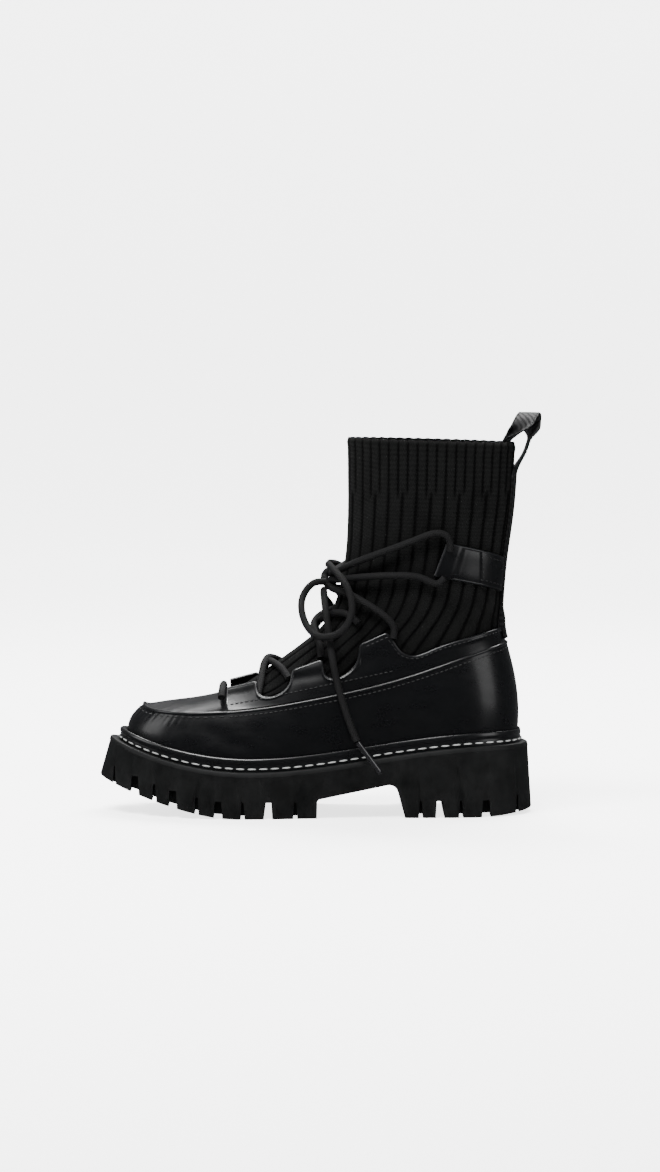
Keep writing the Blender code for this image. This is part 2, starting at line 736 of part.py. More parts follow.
# The welt's section: share of the width, share of the band's height, share of the bead's height
WELT_SECTION = (
    (1.00, 0.00, 0.0),
    (0.97, 0.55, 0.0),
    (0.84, 1.00, 0.0),
    (1.00, 1.00, 0.25),
    (0.90, 1.00, 0.68),
    (0.55, 1.00, 1.00),
    (0.18, 1.00, 0.86),
    (0.00, 1.00, 0.55),
    (0.00, 0.00, 0.0),
)


def build_welt(finish):
    """The welt: a stitched band with a rounded bead on top, all round the leather."""
    mesh_data = bmesh.new()
    angles = column_angles()
    rings = []
    for out_share, band, bead in WELT_SECTION:
        rise = GAP + band * WELT_BAND + bead * WELT_BEAD
        rings.append(ring_of(mesh_data, [welt_point(angle, out_share, rise) for angle in angles]))
    for lower, upper in zip(rings, rings[1:] + rings[:1]):
        join_rings(mesh_data, lower, upper)
    return add_object("welt", mesh_data, finish)


def build_insole(finish):
    """The insole: a sheet that follows the sole's top, inside the leather."""
    mesh_data = bmesh.new()
    inset = -(LEATHER_WALL + INSOLE_ROOM)
    rings = []
    for rise, shrink in ((GAP, 0.0), (GAP + INSOLE_THICKNESS * 0.7, 0.0), (GAP + INSOLE_THICKNESS, -0.0008)):
        points = []
        for angle in column_angles():
            point = outline(angle, inset + shrink, inset + shrink, inset + shrink)
            point.z = sole_top(point.x) + rise
            points.append(point)
        rings.append(ring_of(mesh_data, points))
    for lower, upper in zip(rings, rings[1:]):
        join_rings(mesh_data, lower, upper)
    close_across(mesh_data, rings[0])
    close_across(mesh_data, rings[-1])
    return add_object("insole", mesh_data, finish)


# The upper: side panel and apron in one hollow wall


def upper_column(angle, distance_of):
    """Points up one column of the upper, from the sole to the seam, then back over the apron."""
    corner = angle_at(throat_x())
    points = []
    for i in range(SIDE_ROWS + 1):
        height = i / SIDE_ROWS
        points.append(side_panel_out(angle, height, distance_of(height, False)))
    if abs(angle) < corner - 0.0001:
        end = level_at(angle, throat_x())
        for i in range(1, APRON_ROWS + 1):
            level = end * i / APRON_ROWS
            inner = distance_of(1.0, True)
            points.append(form_out(angle, level, GAP + LEATHER_WALL + inner))
    return points


def outer_distance(height, apron):
    """How proud the leather's outside stands: a rolled edge at the seam, the apron a step lower."""
    if apron:
        return -0.0004
    return PIPING if height >= 0.999 else 0.0


def inner_distance(_height, _apron):
    """The inside of the leather."""
    return -LEATHER_WALL


def build_upper(finish):
    """The leather upper: one hollow wall, open underneath and behind the apron."""
    mesh_data = bmesh.new()
    angles = column_angles()
    walls = []
    for distance_of in (outer_distance, inner_distance):
        columns = [ring_of(mesh_data, upper_column(angle, distance_of)) for angle in angles]
        walls.append(columns)
        count = len(columns)
        for i in range(count):
            here, there = columns[i], columns[(i + 1) % count]
            longest = max(len(here), len(there))
            for row in range(longest - 1):
                a = here[min(row, len(here) - 1)]
                b = there[min(row, len(there) - 1)]
                c = there[min(row + 1, len(there) - 1)]
                d = here[min(row + 1, len(here) - 1)]
                corners = []
                for vertex in (a, b, c, d):
                    if vertex not in corners:
                        corners.append(vertex)
                if len(corners) > 2:
                    mesh_data.faces.new(corners)
    outside, inside = walls
    count = len(angles)
    for i in range(count):
        j = (i + 1) % count
        mesh_data.faces.new((outside[i][0], outside[j][0], inside[j][0], inside[i][0]))
        mesh_data.faces.new((outside[i][-1], outside[j][-1], inside[j][-1], inside[i][-1]))
    return add_object("upper", mesh_data, finish)


# The knit shaft


def build_sock(finish):
    """The knit sock shaft: a hollow wall from under the leather's edge to the turned collar."""
    mesh_data = bmesh.new()
    corner = angle_at(throat_x() - SOCK_TUCK)
    half = [corner * i / SOCK_FRONT_COLUMNS for i in range(SOCK_FRONT_COLUMNS)]
    half += [corner + (math.pi - corner) * i / SOCK_REAR_COLUMNS for i in range(SOCK_REAR_COLUMNS + 1)]
    angles = half + [-angle for angle in reversed(half[1:-1])]
    rings = []
    for distance in (0.0, -SOCK_WALL):
        for i in range(SOCK_ROWS + 1):
            points = []
            for angle in angles:
                start = max(level_at(angle, throat_x() - SOCK_TUCK), SOCK_LOWEST)
                level = start + (TOP_RING - start) * i / SOCK_ROWS
                room = SOCK_ROOM * (1.0 - smooth_step(level / SWING_FADE))
                points.append(form_out(angle, level, distance - room) if i < SOCK_ROWS
                              else rim_point(angle, distance))
            rings.append(ring_of(mesh_data, points))
    half_count = SOCK_ROWS + 1
    for i in range(SOCK_ROWS):
        join_rings(mesh_data, rings[i], rings[i + 1])
        join_rings(mesh_data, rings[half_count + i], rings[half_count + i + 1])
    join_rings(mesh_data, rings[0], rings[half_count])
    join_rings(mesh_data, rings[SOCK_ROWS], rings[-1])
    return add_object("sock_shaft", mesh_data, finish)


def rim_point(angle, distance):
    """A point on the collar's rim."""
    point = form(math.remainder(angle, 2.0 * math.pi), TOP_RING)
    normal = surface_normal(wrapped_form, angle, TOP_RING - 0.05)
    return point + Vector((normal.x, normal.y, 0.0)).normalized() * distance


# The lace tabs


def scoop(front, rear, depth, steps=10):
    """The U between two tabs: from the front tab's rear corner down and up to the rear tab's front corner."""
    points = []
    for i in range(steps + 1):
        bend = math.pi * i / steps
        share = (1.0 - math.cos(bend)) / 2.0
        x = front[0] + (rear[0] - front[0]) * share
        z = front[1] + (rear[1] - front[1]) * share - depth * math.sin(bend) ** 0.7
        points.append((x, z))
    return points


def panel_edge():
    """The tab panel's top edge from the throat to the heel, seen from the side, as x and z."""
    def spot(place, height):
        return (HEEL_BACK - place * LAST_LENGTH, HEEL_STACK + height * HEEL_RISE)
    corners = {name: spot(place, height) for name, place, height in TAB_CORNERS}
    line = [spot(THROAT_PLACE + 0.03, 0.55), corners["first front"]]
    line += scoop(corners["first rear"], corners["second front"], SCOOP_DEPTH)
    line += scoop(corners["second rear"], corners["third front"], SCOOP_DEPTH * 1.2)
    line.append(corners["third rear"])
    line += [spot(place, height) for place, height in HEEL_EDGE]
    return line


def top_line(x):
    """A line that just clears the tabs, above which nothing of the panel is kept."""
    share = (HEEL_BACK - x) / LAST_LENGTH
    steep = HEEL_STACK + HEEL_RISE * (0.60 + 1.40 * max(0.0, THROAT_PLACE - share))
    return min(steep, HEEL_STACK + HEEL_RISE * 1.30)


def panel_column(angle):
    """Where one upright line of the tab panel runs: angle, level and lift at each of its rows."""
    start = form(angle, 0.0)
    along = smooth_step((start.x - HEEL_BACK + 0.30 * LAST_LENGTH) / (0.22 * LAST_LENGTH))
    forward = min(1.0, max(0.0, (start.x - throat_x()) / (0.36 * LAST_LENGTH)))
    high = 1.2 + 2.8 * forward
    turn = abs(angle)
    sign = 1.0 if angle >= 0.0 else -1.0
    rows = []
    for i in range(PANEL_ROWS + 1):
        share = i / PANEL_ROWS
        level = PANEL_START + (high - PANEL_START) * share
        upright = angle_at(start.x, level)
        rows.append((sign * (upright + (turn - upright) * along), level, share))
    crest = form(rows[-1][0], rows[-1][1])
    lift = max(0.0, top_line(crest.x) + PANEL_SPARE - crest.z)
    return [(a, level, lift * share ** 1.5) for a, level, share in rows]


def panel_cutter():
    """The prism above the tab panel's top edge, with the scoops between the tabs."""
    mesh_data = bmesh.new()
    profile = panel_edge()
    ceiling = HEEL_STACK + BOOT_RISE
    profile = profile + [(HEEL_BACK + 0.02, profile[-1][1]), (HEEL_BACK + 0.02, ceiling),
                         (profile[0][0], ceiling)]
    near = ring_of(mesh_data, [Vector((x, -BALL_WIDTH, z)) for x, z in profile])
    far = ring_of(mesh_data, [Vector((x, BALL_WIDTH, z)) for x, z in profile])
    join_rings(mesh_data, near, far)
    mesh_data.faces.new(near)
    mesh_data.faces.new(far)
    return add_object("panel_cutter", mesh_data, None, cutter=True)


def build_tab_panel(finish):
    """The tab panel: three lace tabs a side, and the collar's edge round the heel, in one wall."""
    mesh_data = bmesh.new()
    corner = angle_at(throat_x()) + 0.004
    half = [corner + (math.pi - corner) * i / PANEL_COLUMNS for i in range(PANEL_COLUMNS + 1)]
    angles = half + [-angle for angle in reversed(half[:-1])]
    grids = []
    for distance in (GAP + PANEL_WALL, GAP):
        rows = []
        for angle in angles:
            column = [form_out(a, level, distance) + Vector((0.0, 0.0, lift))
                      for a, level, lift in panel_column(angle)]
            rows.append(ring_of(mesh_data, column))
        grids.append(rows)
    outside, inside = grids
    for rows in grids:
        for here, there in zip(rows, rows[1:]):
            join_rings(mesh_data, here, there, closed=False)
    for i in range(len(angles) - 1):
        for row in (0, -1):
            mesh_data.faces.new((outside[i][row], outside[i + 1][row], inside[i + 1][row], inside[i][row]))
    for column in (0, -1):
        join_rings(mesh_data, outside[column], inside[column], closed=False)
    panel = add_object("tab_panel", mesh_data, finish)
    cut_with(panel, panel_cutter())
    return panel


# The back strip with its pull loop, and the ankle straps


def shaft_point(angle, z, distance):
    """A point on the shaft at an angle and a height."""
    low, high = 0.0, TOP_RING
    for _ in range(36):
        middle = (low + high) / 2.0
        if form(angle, middle).z < z:
            low = middle
        else:
            high = middle
    return form_out(angle, (low + high) / 2.0, distance)


def rear_point(y, z, distance):
    """A point on the shaft's rear at a sideways place and a height."""
    low, high = math.pi * 0.6, math.pi
    for _ in range(30):
        middle = (low + high) / 2.0
        if abs(shaft_point(middle, z, distance).y) > abs(y):
            low = middle
        else:
            high = middle
    angle = (low + high) / 2.0
    return shaft_point(angle if y < 0.0 else -angle, z, distance)


def strip_rows():
    """The back strip's section, row by row: its inner and its outer points from side to side."""
    shares = (-1.0, -0.5, 0.0, 0.5, 1.0)
    half = STRIP_WIDTH / 2.0
    bottom = HEEL_STACK + HEEL_RISE * STRIP_FOOT
    top = HEEL_STACK + BOOT_RISE * STRIP_LEAVES
    rows = []
    for i in range(STRIP_STEPS + 1):
        z = bottom + (top - bottom) * i / STRIP_STEPS
        over = GAP + PANEL_WALL
        clear = GAP + over * (1.0 - smooth_step((z - bottom - 0.012) / 0.010))
        inner = [rear_point(share * half, z, clear) for share in shares]
        outer = [rear_point(share * half, z, clear + STRIP_WALL) for share in shares]
        rows.append((inner, outer))
    path = [Vector((HEEL_BACK + x, 0.0, HEEL_STACK + BOOT_RISE + z)) for x, z in LOOP_PATH]
    for i, spot in enumerate(path):
        before = path[i - 1] if i else Vector((rows[-1][0][2].x, 0.0, rows[-1][0][2].z))
        after = path[min(i + 1, len(path) - 1)]
        along = (after - before).normalized()
        outward = Vector((along.z, 0.0, -along.x)) * (STRIP_WALL / 2.0)
        hug = STRIP_BOW * smooth_step((i - LOOP_HUGS_FROM) / 3.0)
        inner = [spot - outward + Vector((-hug * share * share, share * half, 0.0)) for share in shares]
        outer = [spot + outward + Vector((-hug * share * share, share * half, 0.0)) for share in shares]
        rows.append((inner, outer))
    return rows


def build_back_strip(finish):
    """The strip up the back of the heel and the shaft, which turns over into the pull loop."""
    mesh_data = bmesh.new()
    rings = [ring_of(mesh_data, inner + outer[::-1]) for inner, outer in strip_rows()]
    for lower, upper in zip(rings, rings[1:]):
        join_rings(mesh_data, lower, upper)
    mesh_data.faces.new(rings[0])
    mesh_data.faces.new(rings[-1])
    return add_object("back_strip", mesh_data, finish)


def build_ankle_strap(name, side, finish):
    """A strap from the back strip forward round the ankle to its lace tunnel."""
    mesh_data = bmesh.new()
    front = turn_of(STRAP_FRONT)
    rear = math.pi - STRAP_REAR
    rings = []
    for i in range(STRAP_STEPS + 1):
        share = i / STRAP_STEPS
        tunnel = TUNNEL_RISE * smooth_step((0.26 - share) / 0.12)
        middle = HEEL_STACK + BOOT_RISE * (STRAP_HEIGHT - STRAP_SLOPE * share)
        low, high = [], []
        for j in range(4):
            across = j / 3.0 - 0.5
            z = middle + across * STRAP_WIDTH
            slant = STRAP_SLANT * across * (1.0 - share)
            angle = side * (front + (rear - front) * share + slant)
            low.append(shaft_point(angle, z, GAP))
            high.append(shaft_point(angle, z, GAP + STRAP_WALL + tunnel))
        rings.append(ring_of(mesh_data, low + high[::-1]))
    for lower, upper in zip(rings, rings[1:]):
        join_rings(mesh_data, lower, upper)
    mesh_data.faces.new(rings[0])
    mesh_data.faces.new(rings[-1])
    return add_object(name, mesh_data, finish)


# The lace


def smooth_route(points, step):
    """Points a step apart on a smooth curve through a route's own points."""
    marks = [0.0]
    for a, b in zip(points, points[1:]):
        marks.append(marks[-1] + (b - a).length)
    curves = [Spline(marks, [point[axis] for point in points]) for axis in range(3)]
    count = max(2, round(marks[-1] / step))
    return [Vector([curve(marks[-1] * i / count) for curve in curves]) for i in range(count + 1)]


def add_cord(name, points, diameter, finish):
    """A round cord along a route, as a curve with filled caps."""
    route = smooth_route([Vector(point) for point in points], LACE * CORD_STEP)
    data = bpy.data.curves.new(name, "CURVE")
    data.dimensions = "3D"
    data.bevel_depth = diameter / 2.0
    data.bevel_resolution = 2
    data.use_fill_caps = True
    spline = data.splines.new("POLY")
    spline.points.add(len(route) - 1)
    for spot, point in zip(spline.points, route):
        spot.co = (point.x, point.y, point.z, 1.0)
    data.materials.append(finish)
    thing = bpy.data.objects.new(name, data)
    bpy.context.scene.collection.objects.link(thing)
    return thing


def over_foot(x, y, clear):
    """A lace point over the instep at a place and a sideways distance, clear of the sock."""
    low, high = 0.0, TOP_RING
    for _ in range(36):
        middle = (low + high) / 2.0
        if RING_COLUMNS[0](middle) < x and abs(form(angle_at(x, middle), middle).y) > abs(y):
            low = middle
        else:
            high = middle
    level = (low + high) / 2.0
    angle = angle_at(x, level) * (1.0 if y < 0.0 else -1.0)
    return form_out(angle, level, LACE / 2.0 + clear)


def build_crossing(name, front_place, middle_place, rear_place, front_y, rear_y, finish):
    """Two lace runs that cross over the sock between two pairs of tabs, joined where they touch."""
    along = Spline((0.0, 0.5, 1.0), [HEEL_BACK - place * LAST_LENGTH
                                     for place in (front_place, middle_place, rear_place)])
    runs = []
    for run, hump in ((1.0, 0.0), (-1.0, 0.5)):
        points = []
        for i in range(7):
            share = i / 6.0
            y = run * (front_y + (-rear_y - front_y) * share)
            clear = CROSSING_CLEAR + LACE * hump * math.sin(math.pi * share) ** 2
            points.append(over_foot(along(share), y, clear))
        runs.append(add_cord(name if run > 0.0 else name + "_second", points, LACE, finish))
    return runs


def join_runs(name, runs, finish):
    """Join two crossing cords into one solid."""
    meshes = []
    depsgraph = bpy.context.evaluated_depsgraph_get()
    for run in runs:
        meshes.append(bpy.data.meshes.new_from_object(run.evaluated_get(depsgraph)))
    for run in runs:
        bpy.data.objects.remove(run, do_unlink=True)
    things = []
    for mesh, label in zip(meshes, (name, name + "_second_run")):
        mesh_data = bmesh.new()
        mesh_data.from_mesh(mesh)
        things.append(add_object(label, mesh_data, finish, cutter=label != name))
    joint = things[0].modifiers.new("joined", "BOOLEAN")
    joint.operation = "UNION"
    joint.object = things[1]
    return things[0]


def build_knot(finish):
    """The bow's knot, a rounded lump of crossed cord."""
    mesh_data = bmesh.new()
    bmesh.ops.create_uvsphere(mesh_data, u_segments=12, v_segments=8, radius=1.0)
    bmesh.ops.scale(mesh_data, verts=mesh_data.verts, vec=Vector(KNOT_SIZE) / 2.0)
    bmesh.ops.translate(mesh_data, verts=mesh_data.verts, vec=Vector(KNOT))
    return add_object("lace_knot", mesh_data, finish)


def build_lace(finish, tip_finish):
    """The lace: a bar over the apron, two crossings, the runs to the knot, the bow and its ends."""
    bar = [(BAR_X, y, z) for y, z in BAR_ROUTE]
    add_cord("lace_bar", bar, LACE, finish)
    for name, places in CROSSINGS:
        join_runs(name, build_crossing(name, *places, finish), finish)
    build_knot(finish)
    for side_name, side in (("outer", 1.0), ("inner", -1.0)):
        for run_name, route in SHAFT_RUNS:
            points = [Vector((x, -side * y, z)) for x, y, z in route]
            add_cord("lace_" + run_name + "_" + side_name, points, LACE, finish)
    add_cord("lace_loop_outer", OUTER_LOOP, LACE, finish)
    add_cord("lace_loop_inner", INNER_LOOP, LACE, finish)
    for side_name, route, tip in (("outer", OUTER_END, OUTER_TIP), ("inner", INNER_END, INNER_TIP)):
        add_cord("lace_end_" + side_name, route, LACE, finish)
        add_cord("aglet_" + side_name, tip, AGLET, tip_finish)


def clear_scene():
    """Start from an empty scene."""
    for thing in list(bpy.data.objects):
        bpy.data.objects.remove(thing, do_unlink=True)


def centre_on_floor():
    """Hang every piece on an empty that puts the middle of the boot over the origin, on the floor."""
    bpy.context.view_layer.update()
    depsgraph = bpy.context.evaluated_depsgraph_get()
    spots = []
    pieces = [thing for thing in bpy.data.objects if thing.type != "EMPTY"]
    for thing in pieces:
        if thing.hide_render or thing.name.startswith(CORD_NAMES):
            continue
        mesh = thing.evaluated_get(depsgraph).to_mesh()
        spots += [thing.matrix_world @ vertex.co for vertex in mesh.vertices]
        thing.evaluated_get(depsgraph).to_mesh_clear()
    low = [min(spot[axis] for spot in spots) for axis in range(3)]
    high = [max(spot[axis] for spot in spots) for axis in range(3)]
    centre = bpy.data.objects.new("boot_centre", None)
    centre.location = (-(low[0] + high[0]) / 2.0, -(low[1] + high[1]) / 2.0, -low[2])
    bpy.context.scene.collection.objects.link(centre)
    for thing in pieces:
        thing.parent = centre
    bpy.context.view_layer.update()


def main():
    """Build every piece of the boot."""
    clear_scene()
    rubber = material("sole_rubber", (0.012, 0.013, 0.013), 0.55)
    welt_rubber = material("welt_rubber", (0.010, 0.011, 0.012), 0.30)
    leather = material("upper_leather", (0.008, 0.009, 0.011), 0.28)
    knit = material("sock_knit", (0.010, 0.010, 0.011), 0.95)
    strip = material("strip_leather", (0.009, 0.009, 0.010), 0.50)
    lace = material("lace_cord", (0.014, 0.014, 0.014), 0.85)
    tip = material("lace_tip", (0.020, 0.020, 0.022), 0.25)
    board = material("insole_board", (0.020, 0.019, 0.018), 0.80)
    build_outsole(rubber)
    build_welt(welt_rubber)
    build_insole(board)
    build_upper(leather)
    build_sock(knit)
    build_tab_panel(leather)
    build_back_strip(strip)
    build_ankle_strap("ankle_strap_outer", 1.0, leather)
    build_ankle_strap("ankle_strap_inner", -1.0, leather)
    build_lace(lace, tip)
    centre_on_floor()


if __name__ == "__main__":
    main()
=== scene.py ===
"""Sock boot for the left foot, dressed: smooth leather, ribbed knit, glossy welt, light stitches and a braided lace.

Metres, +Z up, toe to -X, outer side of the foot to -Y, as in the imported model.
"""
from __future__ import annotations

import logging
import math
from dataclasses import dataclass, field
from enum import Enum
from typing import Callable, Iterable, Sequence

import bmesh
import bpy
from mathutils import Matrix, Vector


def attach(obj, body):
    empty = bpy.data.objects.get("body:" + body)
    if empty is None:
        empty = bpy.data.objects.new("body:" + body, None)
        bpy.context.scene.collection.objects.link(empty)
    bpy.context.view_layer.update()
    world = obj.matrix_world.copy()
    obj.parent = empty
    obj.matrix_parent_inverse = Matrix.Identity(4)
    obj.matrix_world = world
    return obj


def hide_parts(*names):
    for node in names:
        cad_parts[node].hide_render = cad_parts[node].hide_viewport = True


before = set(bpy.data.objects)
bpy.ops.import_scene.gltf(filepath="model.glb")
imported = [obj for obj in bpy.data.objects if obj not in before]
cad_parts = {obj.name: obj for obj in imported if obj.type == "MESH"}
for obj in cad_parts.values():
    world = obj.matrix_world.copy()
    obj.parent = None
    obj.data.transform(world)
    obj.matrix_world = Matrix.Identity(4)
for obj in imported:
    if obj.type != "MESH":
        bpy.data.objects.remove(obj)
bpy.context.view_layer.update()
LOG = logging.getLogger("boot")
BODY = "root"
SHIFT = Vector((-0.000005, -0.000954, 0.0))
GAP = 0.0003
Surface = Callable[[float, float], Vector]
Mesh = bmesh.types.BMesh
Socket = bpy.types.NodeSocket
Colour = tuple[float, float, float]
Route = Sequence[Sequence[float]]
Points = tuple[tuple[float, float, float], ...]
# pitch, length, thickness and how deep a stitch lies as a share of its thickness
FINE_SEAM = (0.0032, 0.0024, 0.0007, 0.3)
STRAP_SEAM = (0.0030, 0.0022, 0.0007, 0.3)
STRIP_SEAM = (0.0024, 0.0018, 0.0006, 0.35)
TOE_SEAM = (0.0052, 0.0034, 0.0008, 0.3)


class Side(Enum):
    """The two sides of the foot, with the sign of the angle round the boot."""

    OUTER = 1.0
    INNER = -1.0


# ---------------------------------------------------------------------------------------- the last


class Spline:
    """A smooth curve through a few (place, value) pairs, straight past both ends."""

    def __init__(self, places: Sequence[float], values: Sequence[float]) -> None:
        """Work out the bends of the curve.

        Args:
            places: Rising places.
            values: The value at each place.
        """
        count = len(places)
        self.places = list(places)
        self.values = list(values)
        self.bends = [0.0] * count
        slopes = [0.0] * count
        for i in range(1, count - 1):
            left = places[i] - places[i - 1]
            both = places[i + 1] - places[i - 1]
            share = left / both
            pivot = share * self.bends[i - 1] + 2.0
            jump = ((values[i + 1] - values[i]) / (places[i + 1] - places[i])
                    - (values[i] - values[i - 1]) / left)
            self.bends[i] = (share - 1.0) / pivot
            slopes[i] = (6.0 * jump / both - share * slopes[i - 1]) / pivot
        for i in range(count - 2, 0, -1):
            self.bends[i] = self.bends[i] * self.bends[i + 1] + slopes[i]
        self.bends[0] = self.bends[-1] = 0.0

    def __call__(self, place: float) -> float:
        """Return the value at a place."""
        low = 0
        for i in range(1, len(self.places) - 1):
            if place >= self.places[i]:
                low = i
        span = self.places[low + 1] - self.places[low]
        b = (place - self.places[low]) / span
        a = 1.0 - b
        value = a * self.values[low] + b * self.values[low + 1]
        if 0.0 <= a <= 1.0:
            bend = (a ** 3 - a) * self.bends[low] + (b ** 3 - b) * self.bends[low + 1]
            value += bend * span * span / 6.0
        return value


def smooth_step(share: float) -> float:
    """Rise from 0 to 1 with level ends."""
    share = min(max(share, 0.0), 1.0)
    return share * share * (3.0 - 2.0 * share)


def bump_at(place: float, centre: float, reach: float) -> float:
    """Return a soft hump of height 1 round a centre."""
    return math.exp(-((place - centre) / reach) ** 2)


def halve(low: float, high: float, steps: int, below: Callable[[float], bool]) -> float:
    """Close in on the place where a test stops holding.

    Args:
        low: Where it holds.
        high: Where it doesn't.
        steps: How often the span is halved.
        below: The test.

    Returns:
        The middle of the last span.
    """
    for _ in range(steps):
        middle = (low + high) / 2.0
        if below(middle):
            low = middle
        else:
            high = middle
    return (low + high) / 2.0


def turn_of(share: float) -> float:
    """Return the angle round a ring at a share of its length."""
    return math.acos(1.0 - 2.0 * min(max(share, 0.0), 1.0))


@dataclass
class Last:
    """The last and the sole's lines: every surface of the boot is drawn from these sizes."""

    length: float = 0.2514
    ball_width: float = 0.0900
    heel_back: float = 0.1274
    toe_swing: float = 0.0060
    heel_rise: float = 0.0630
    boot_rise: float = 0.1959
    collar_depth: float = 0.1079
    collar_width: float = 0.0540
    toe_stack: float = 0.0488
    ball_stack: float = 0.0300
    heel_stack: float = 0.0457
    ball_place: float = 0.682
    seat_place: float = 0.049
    throat_place: float = 0.738
    shares: tuple[float, ...] = (0.1, 0.3, 0.5, 0.7, 0.9)
    feather_widths: tuple[float, ...] = (0.365, 0.500, 0.428, 0.372, 0.345)
    feather_swing: tuple[float, ...] = (0.75, 0.17, -0.42, -0.17, 0.00)
    drop_shape: tuple[float, ...] = (0.62, 1.00, 0.97, 0.76, 0.19)
    # front place, front height, rear place, rear height, drop, half widths
    foot_rings: tuple[tuple, ...] = (
        (0.955, 0.338, 0.0330, 1.000, 0.190, (0.345, 0.420, 0.402, 0.360, 0.296)),
        (0.849, 0.390, 0.0390, 1.068, 0.080, (0.255, 0.386, 0.384, 0.353, 0.288)),
        (0.745, 0.478, 0.0430, 1.148, 0.048, (0.292, 0.372, 0.369, 0.340, 0.279)),
        (0.648, 0.719, 0.0445, 1.243, 0.024, (0.222, 0.339, 0.351, 0.331, 0.268)),
        (0.556, 0.981, 0.0420, 1.362, 0.000, (0.217, 0.320, 0.344, 0.331, 0.250)))
    # depth, front height, rear place, rear height, half widths
    shaft_rings: tuple[tuple, ...] = (
        (1.036, 0.407, 0.0400, 0.481, (0.324, 0.509, 0.570, 0.537, 0.370)),
        (0.967, 0.522, 0.0360, 0.548, (0.306, 0.487, 0.546, 0.506, 0.333)),
        (0.952, 0.645, 0.0280, 0.640, (0.296, 0.469, 0.524, 0.481, 0.315)),
        (0.978, 0.803, 0.0130, 0.788, (0.296, 0.463, 0.511, 0.469, 0.302)),
        (1.000, 1.000, 0.0044, 0.984, (0.293, 0.456, 0.500, 0.459, 0.296)))
    rings: dict = field(default_factory=dict)
    seams: dict = field(default_factory=dict)
    facings: dict = field(default_factory=dict)
    levels: dict = field(default_factory=dict)

    def __post_init__(self) -> None:
        """Turn the tables into curves."""
        rows = []
        for front, front_z, rear, rear_z, drop, widths in self.foot_rings:
            rows.append((self.heel_back - front * self.length, self.heel_stack + front_z * self.heel_rise,
                         self.heel_back - rear * self.length, self.heel_stack + rear_z * self.heel_rise,
                         drop * self.heel_rise) + tuple(w * self.ball_width for w in widths))
        for depth, front_z, rear, rear_z, widths in self.shaft_rings:
            back = self.heel_back - rear * self.length
            rows.append((back - depth * self.collar_depth, self.heel_stack + front_z * self.boot_rise, back,
                         self.heel_stack + rear_z * self.boot_rise, 0.0)
                        + tuple(w * self.collar_width for w in widths))
        self.top = float(len(rows) - 1)
        self.columns = [Spline(range(len(rows)), column) for column in zip(*rows)]
        self.drop = self.round_curve(0.0, self.drop_shape, 0.0)
        self.swing_curve = self.round_curve(1.0, self.feather_swing, 0.0)
        self.feather_curve = self.round_curve(0.0, self.feather_widths, 0.0)
        self.throat_x = self.heel_back - self.throat_place * self.length
        self.corner = self.angle_at(self.throat_x)

    def round_curve(self, front: float, middle: Iterable[float], rear: float) -> Spline:
        """Return a curve in the turn round a ring."""
        turns = (0.0,) + tuple(turn_of(share) for share in self.shares) + (math.pi,)
        return Spline(turns, (front,) + tuple(middle) + (rear,))

    def swing(self, turn: float, level: float) -> float:
        """Return how far a ring's middle line is swung inwards."""
        return self.swing_curve(turn) * self.toe_swing * max(0.0, 1.0 - max(level, 0.0) / 4.0)

    def form(self, angle: float, level: float) -> Vector:
        """Return a point on the sock's outside.

        Args:
            angle: 0 at the front, positive on the outer side, pi at the rear.
            level: 0 at the leather's seam, up to the collar.

        Returns:
            The point.
        """
        angle = math.remainder(angle, 2.0 * math.pi)
        turn = abs(angle)
        side = -1.0 if angle > 0.0 else 1.0
        key = round(level, 5)
        if key not in self.rings:
            sizes = [column(level) for column in self.columns]
            self.rings[key] = (sizes[:5], self.round_curve(0.0, sizes[5:], 0.0))
        (front_x, front_z, rear_x, rear_z, drop), width = self.rings[key]
        share = (1.0 - math.cos(turn)) / 2.0
        return Vector((front_x + (rear_x - front_x) * share, side * width(turn) + self.swing(turn, level),
                       front_z + (rear_z - front_z) * share - drop * self.drop(turn)))

    def out(self, angle: float, level: float, distance: float) -> Vector:
        """Return a point at a distance outside the form."""
        return self.form(angle, level) + normal_of(self.form, angle, level) * distance

    def sole_top(self, x: float) -> float:
        """Return the height of the sole's top."""
        ball = self.heel_back - self.ball_place * self.length
        seat = self.heel_back - self.seat_place * self.length
        tip = self.heel_back - self.length - 0.0112
        if x < ball:
            return self.ball_stack + (self.toe_stack - self.ball_stack) * ((ball - x) / (ball - tip)) ** 2
        return self.ball_stack + (self.heel_stack - self.ball_stack) * smooth_step((x - ball) / (seat - ball))

    def feather(self, angle: float) -> Vector:
        """Return the leather's flat outline where it meets the sole."""
        turned = math.remainder(angle, 2.0 * math.pi)
        turn = abs(turned)
        side = -1.0 if turned > 0.0 else 1.0
        share = (1.0 - math.cos(turn)) / 2.0
        return Vector((self.heel_back - self.length * (1.0 - share),
                       side * self.feather_curve(turn) * self.ball_width + self.swing(turn, 0.0), 0.0))

    def facing(self, angle: float) -> Vector:
        """Return the flat outward normal of the outline."""
        key = round(angle, 6)
        if key not in self.facings:
            along = self.feather(angle + 0.01) - self.feather(angle - 0.01)
            self.facings[key] = Vector((along.y, -along.x, 0.0)).normalized()
        return self.facings[key]

    def by_facing(self, normal: Vector, toe: float, side: float, heel: float) -> float:
        """Blend three sizes by which way the outline faces."""
        return side + (toe - side) * max(0.0, -normal.x) ** 2 + (heel - side) * max(0.0, normal.x) ** 2

    def outline(self, angle: float, toe: float, side: float, heel: float) -> Vector:
        """Return the outline moved outwards."""
        normal = self.facing(angle)
        return self.feather(angle) + normal * self.by_facing(normal, toe, side, heel)

    def seam(self, angle: float) -> Vector:
        """Return the line round the top of the side panel."""
        key = round(angle, 6)
        if key not in self.seams:
            self.seams[key] = self.out(angle, 0.0, GAP + 0.0020)
        return self.seams[key]

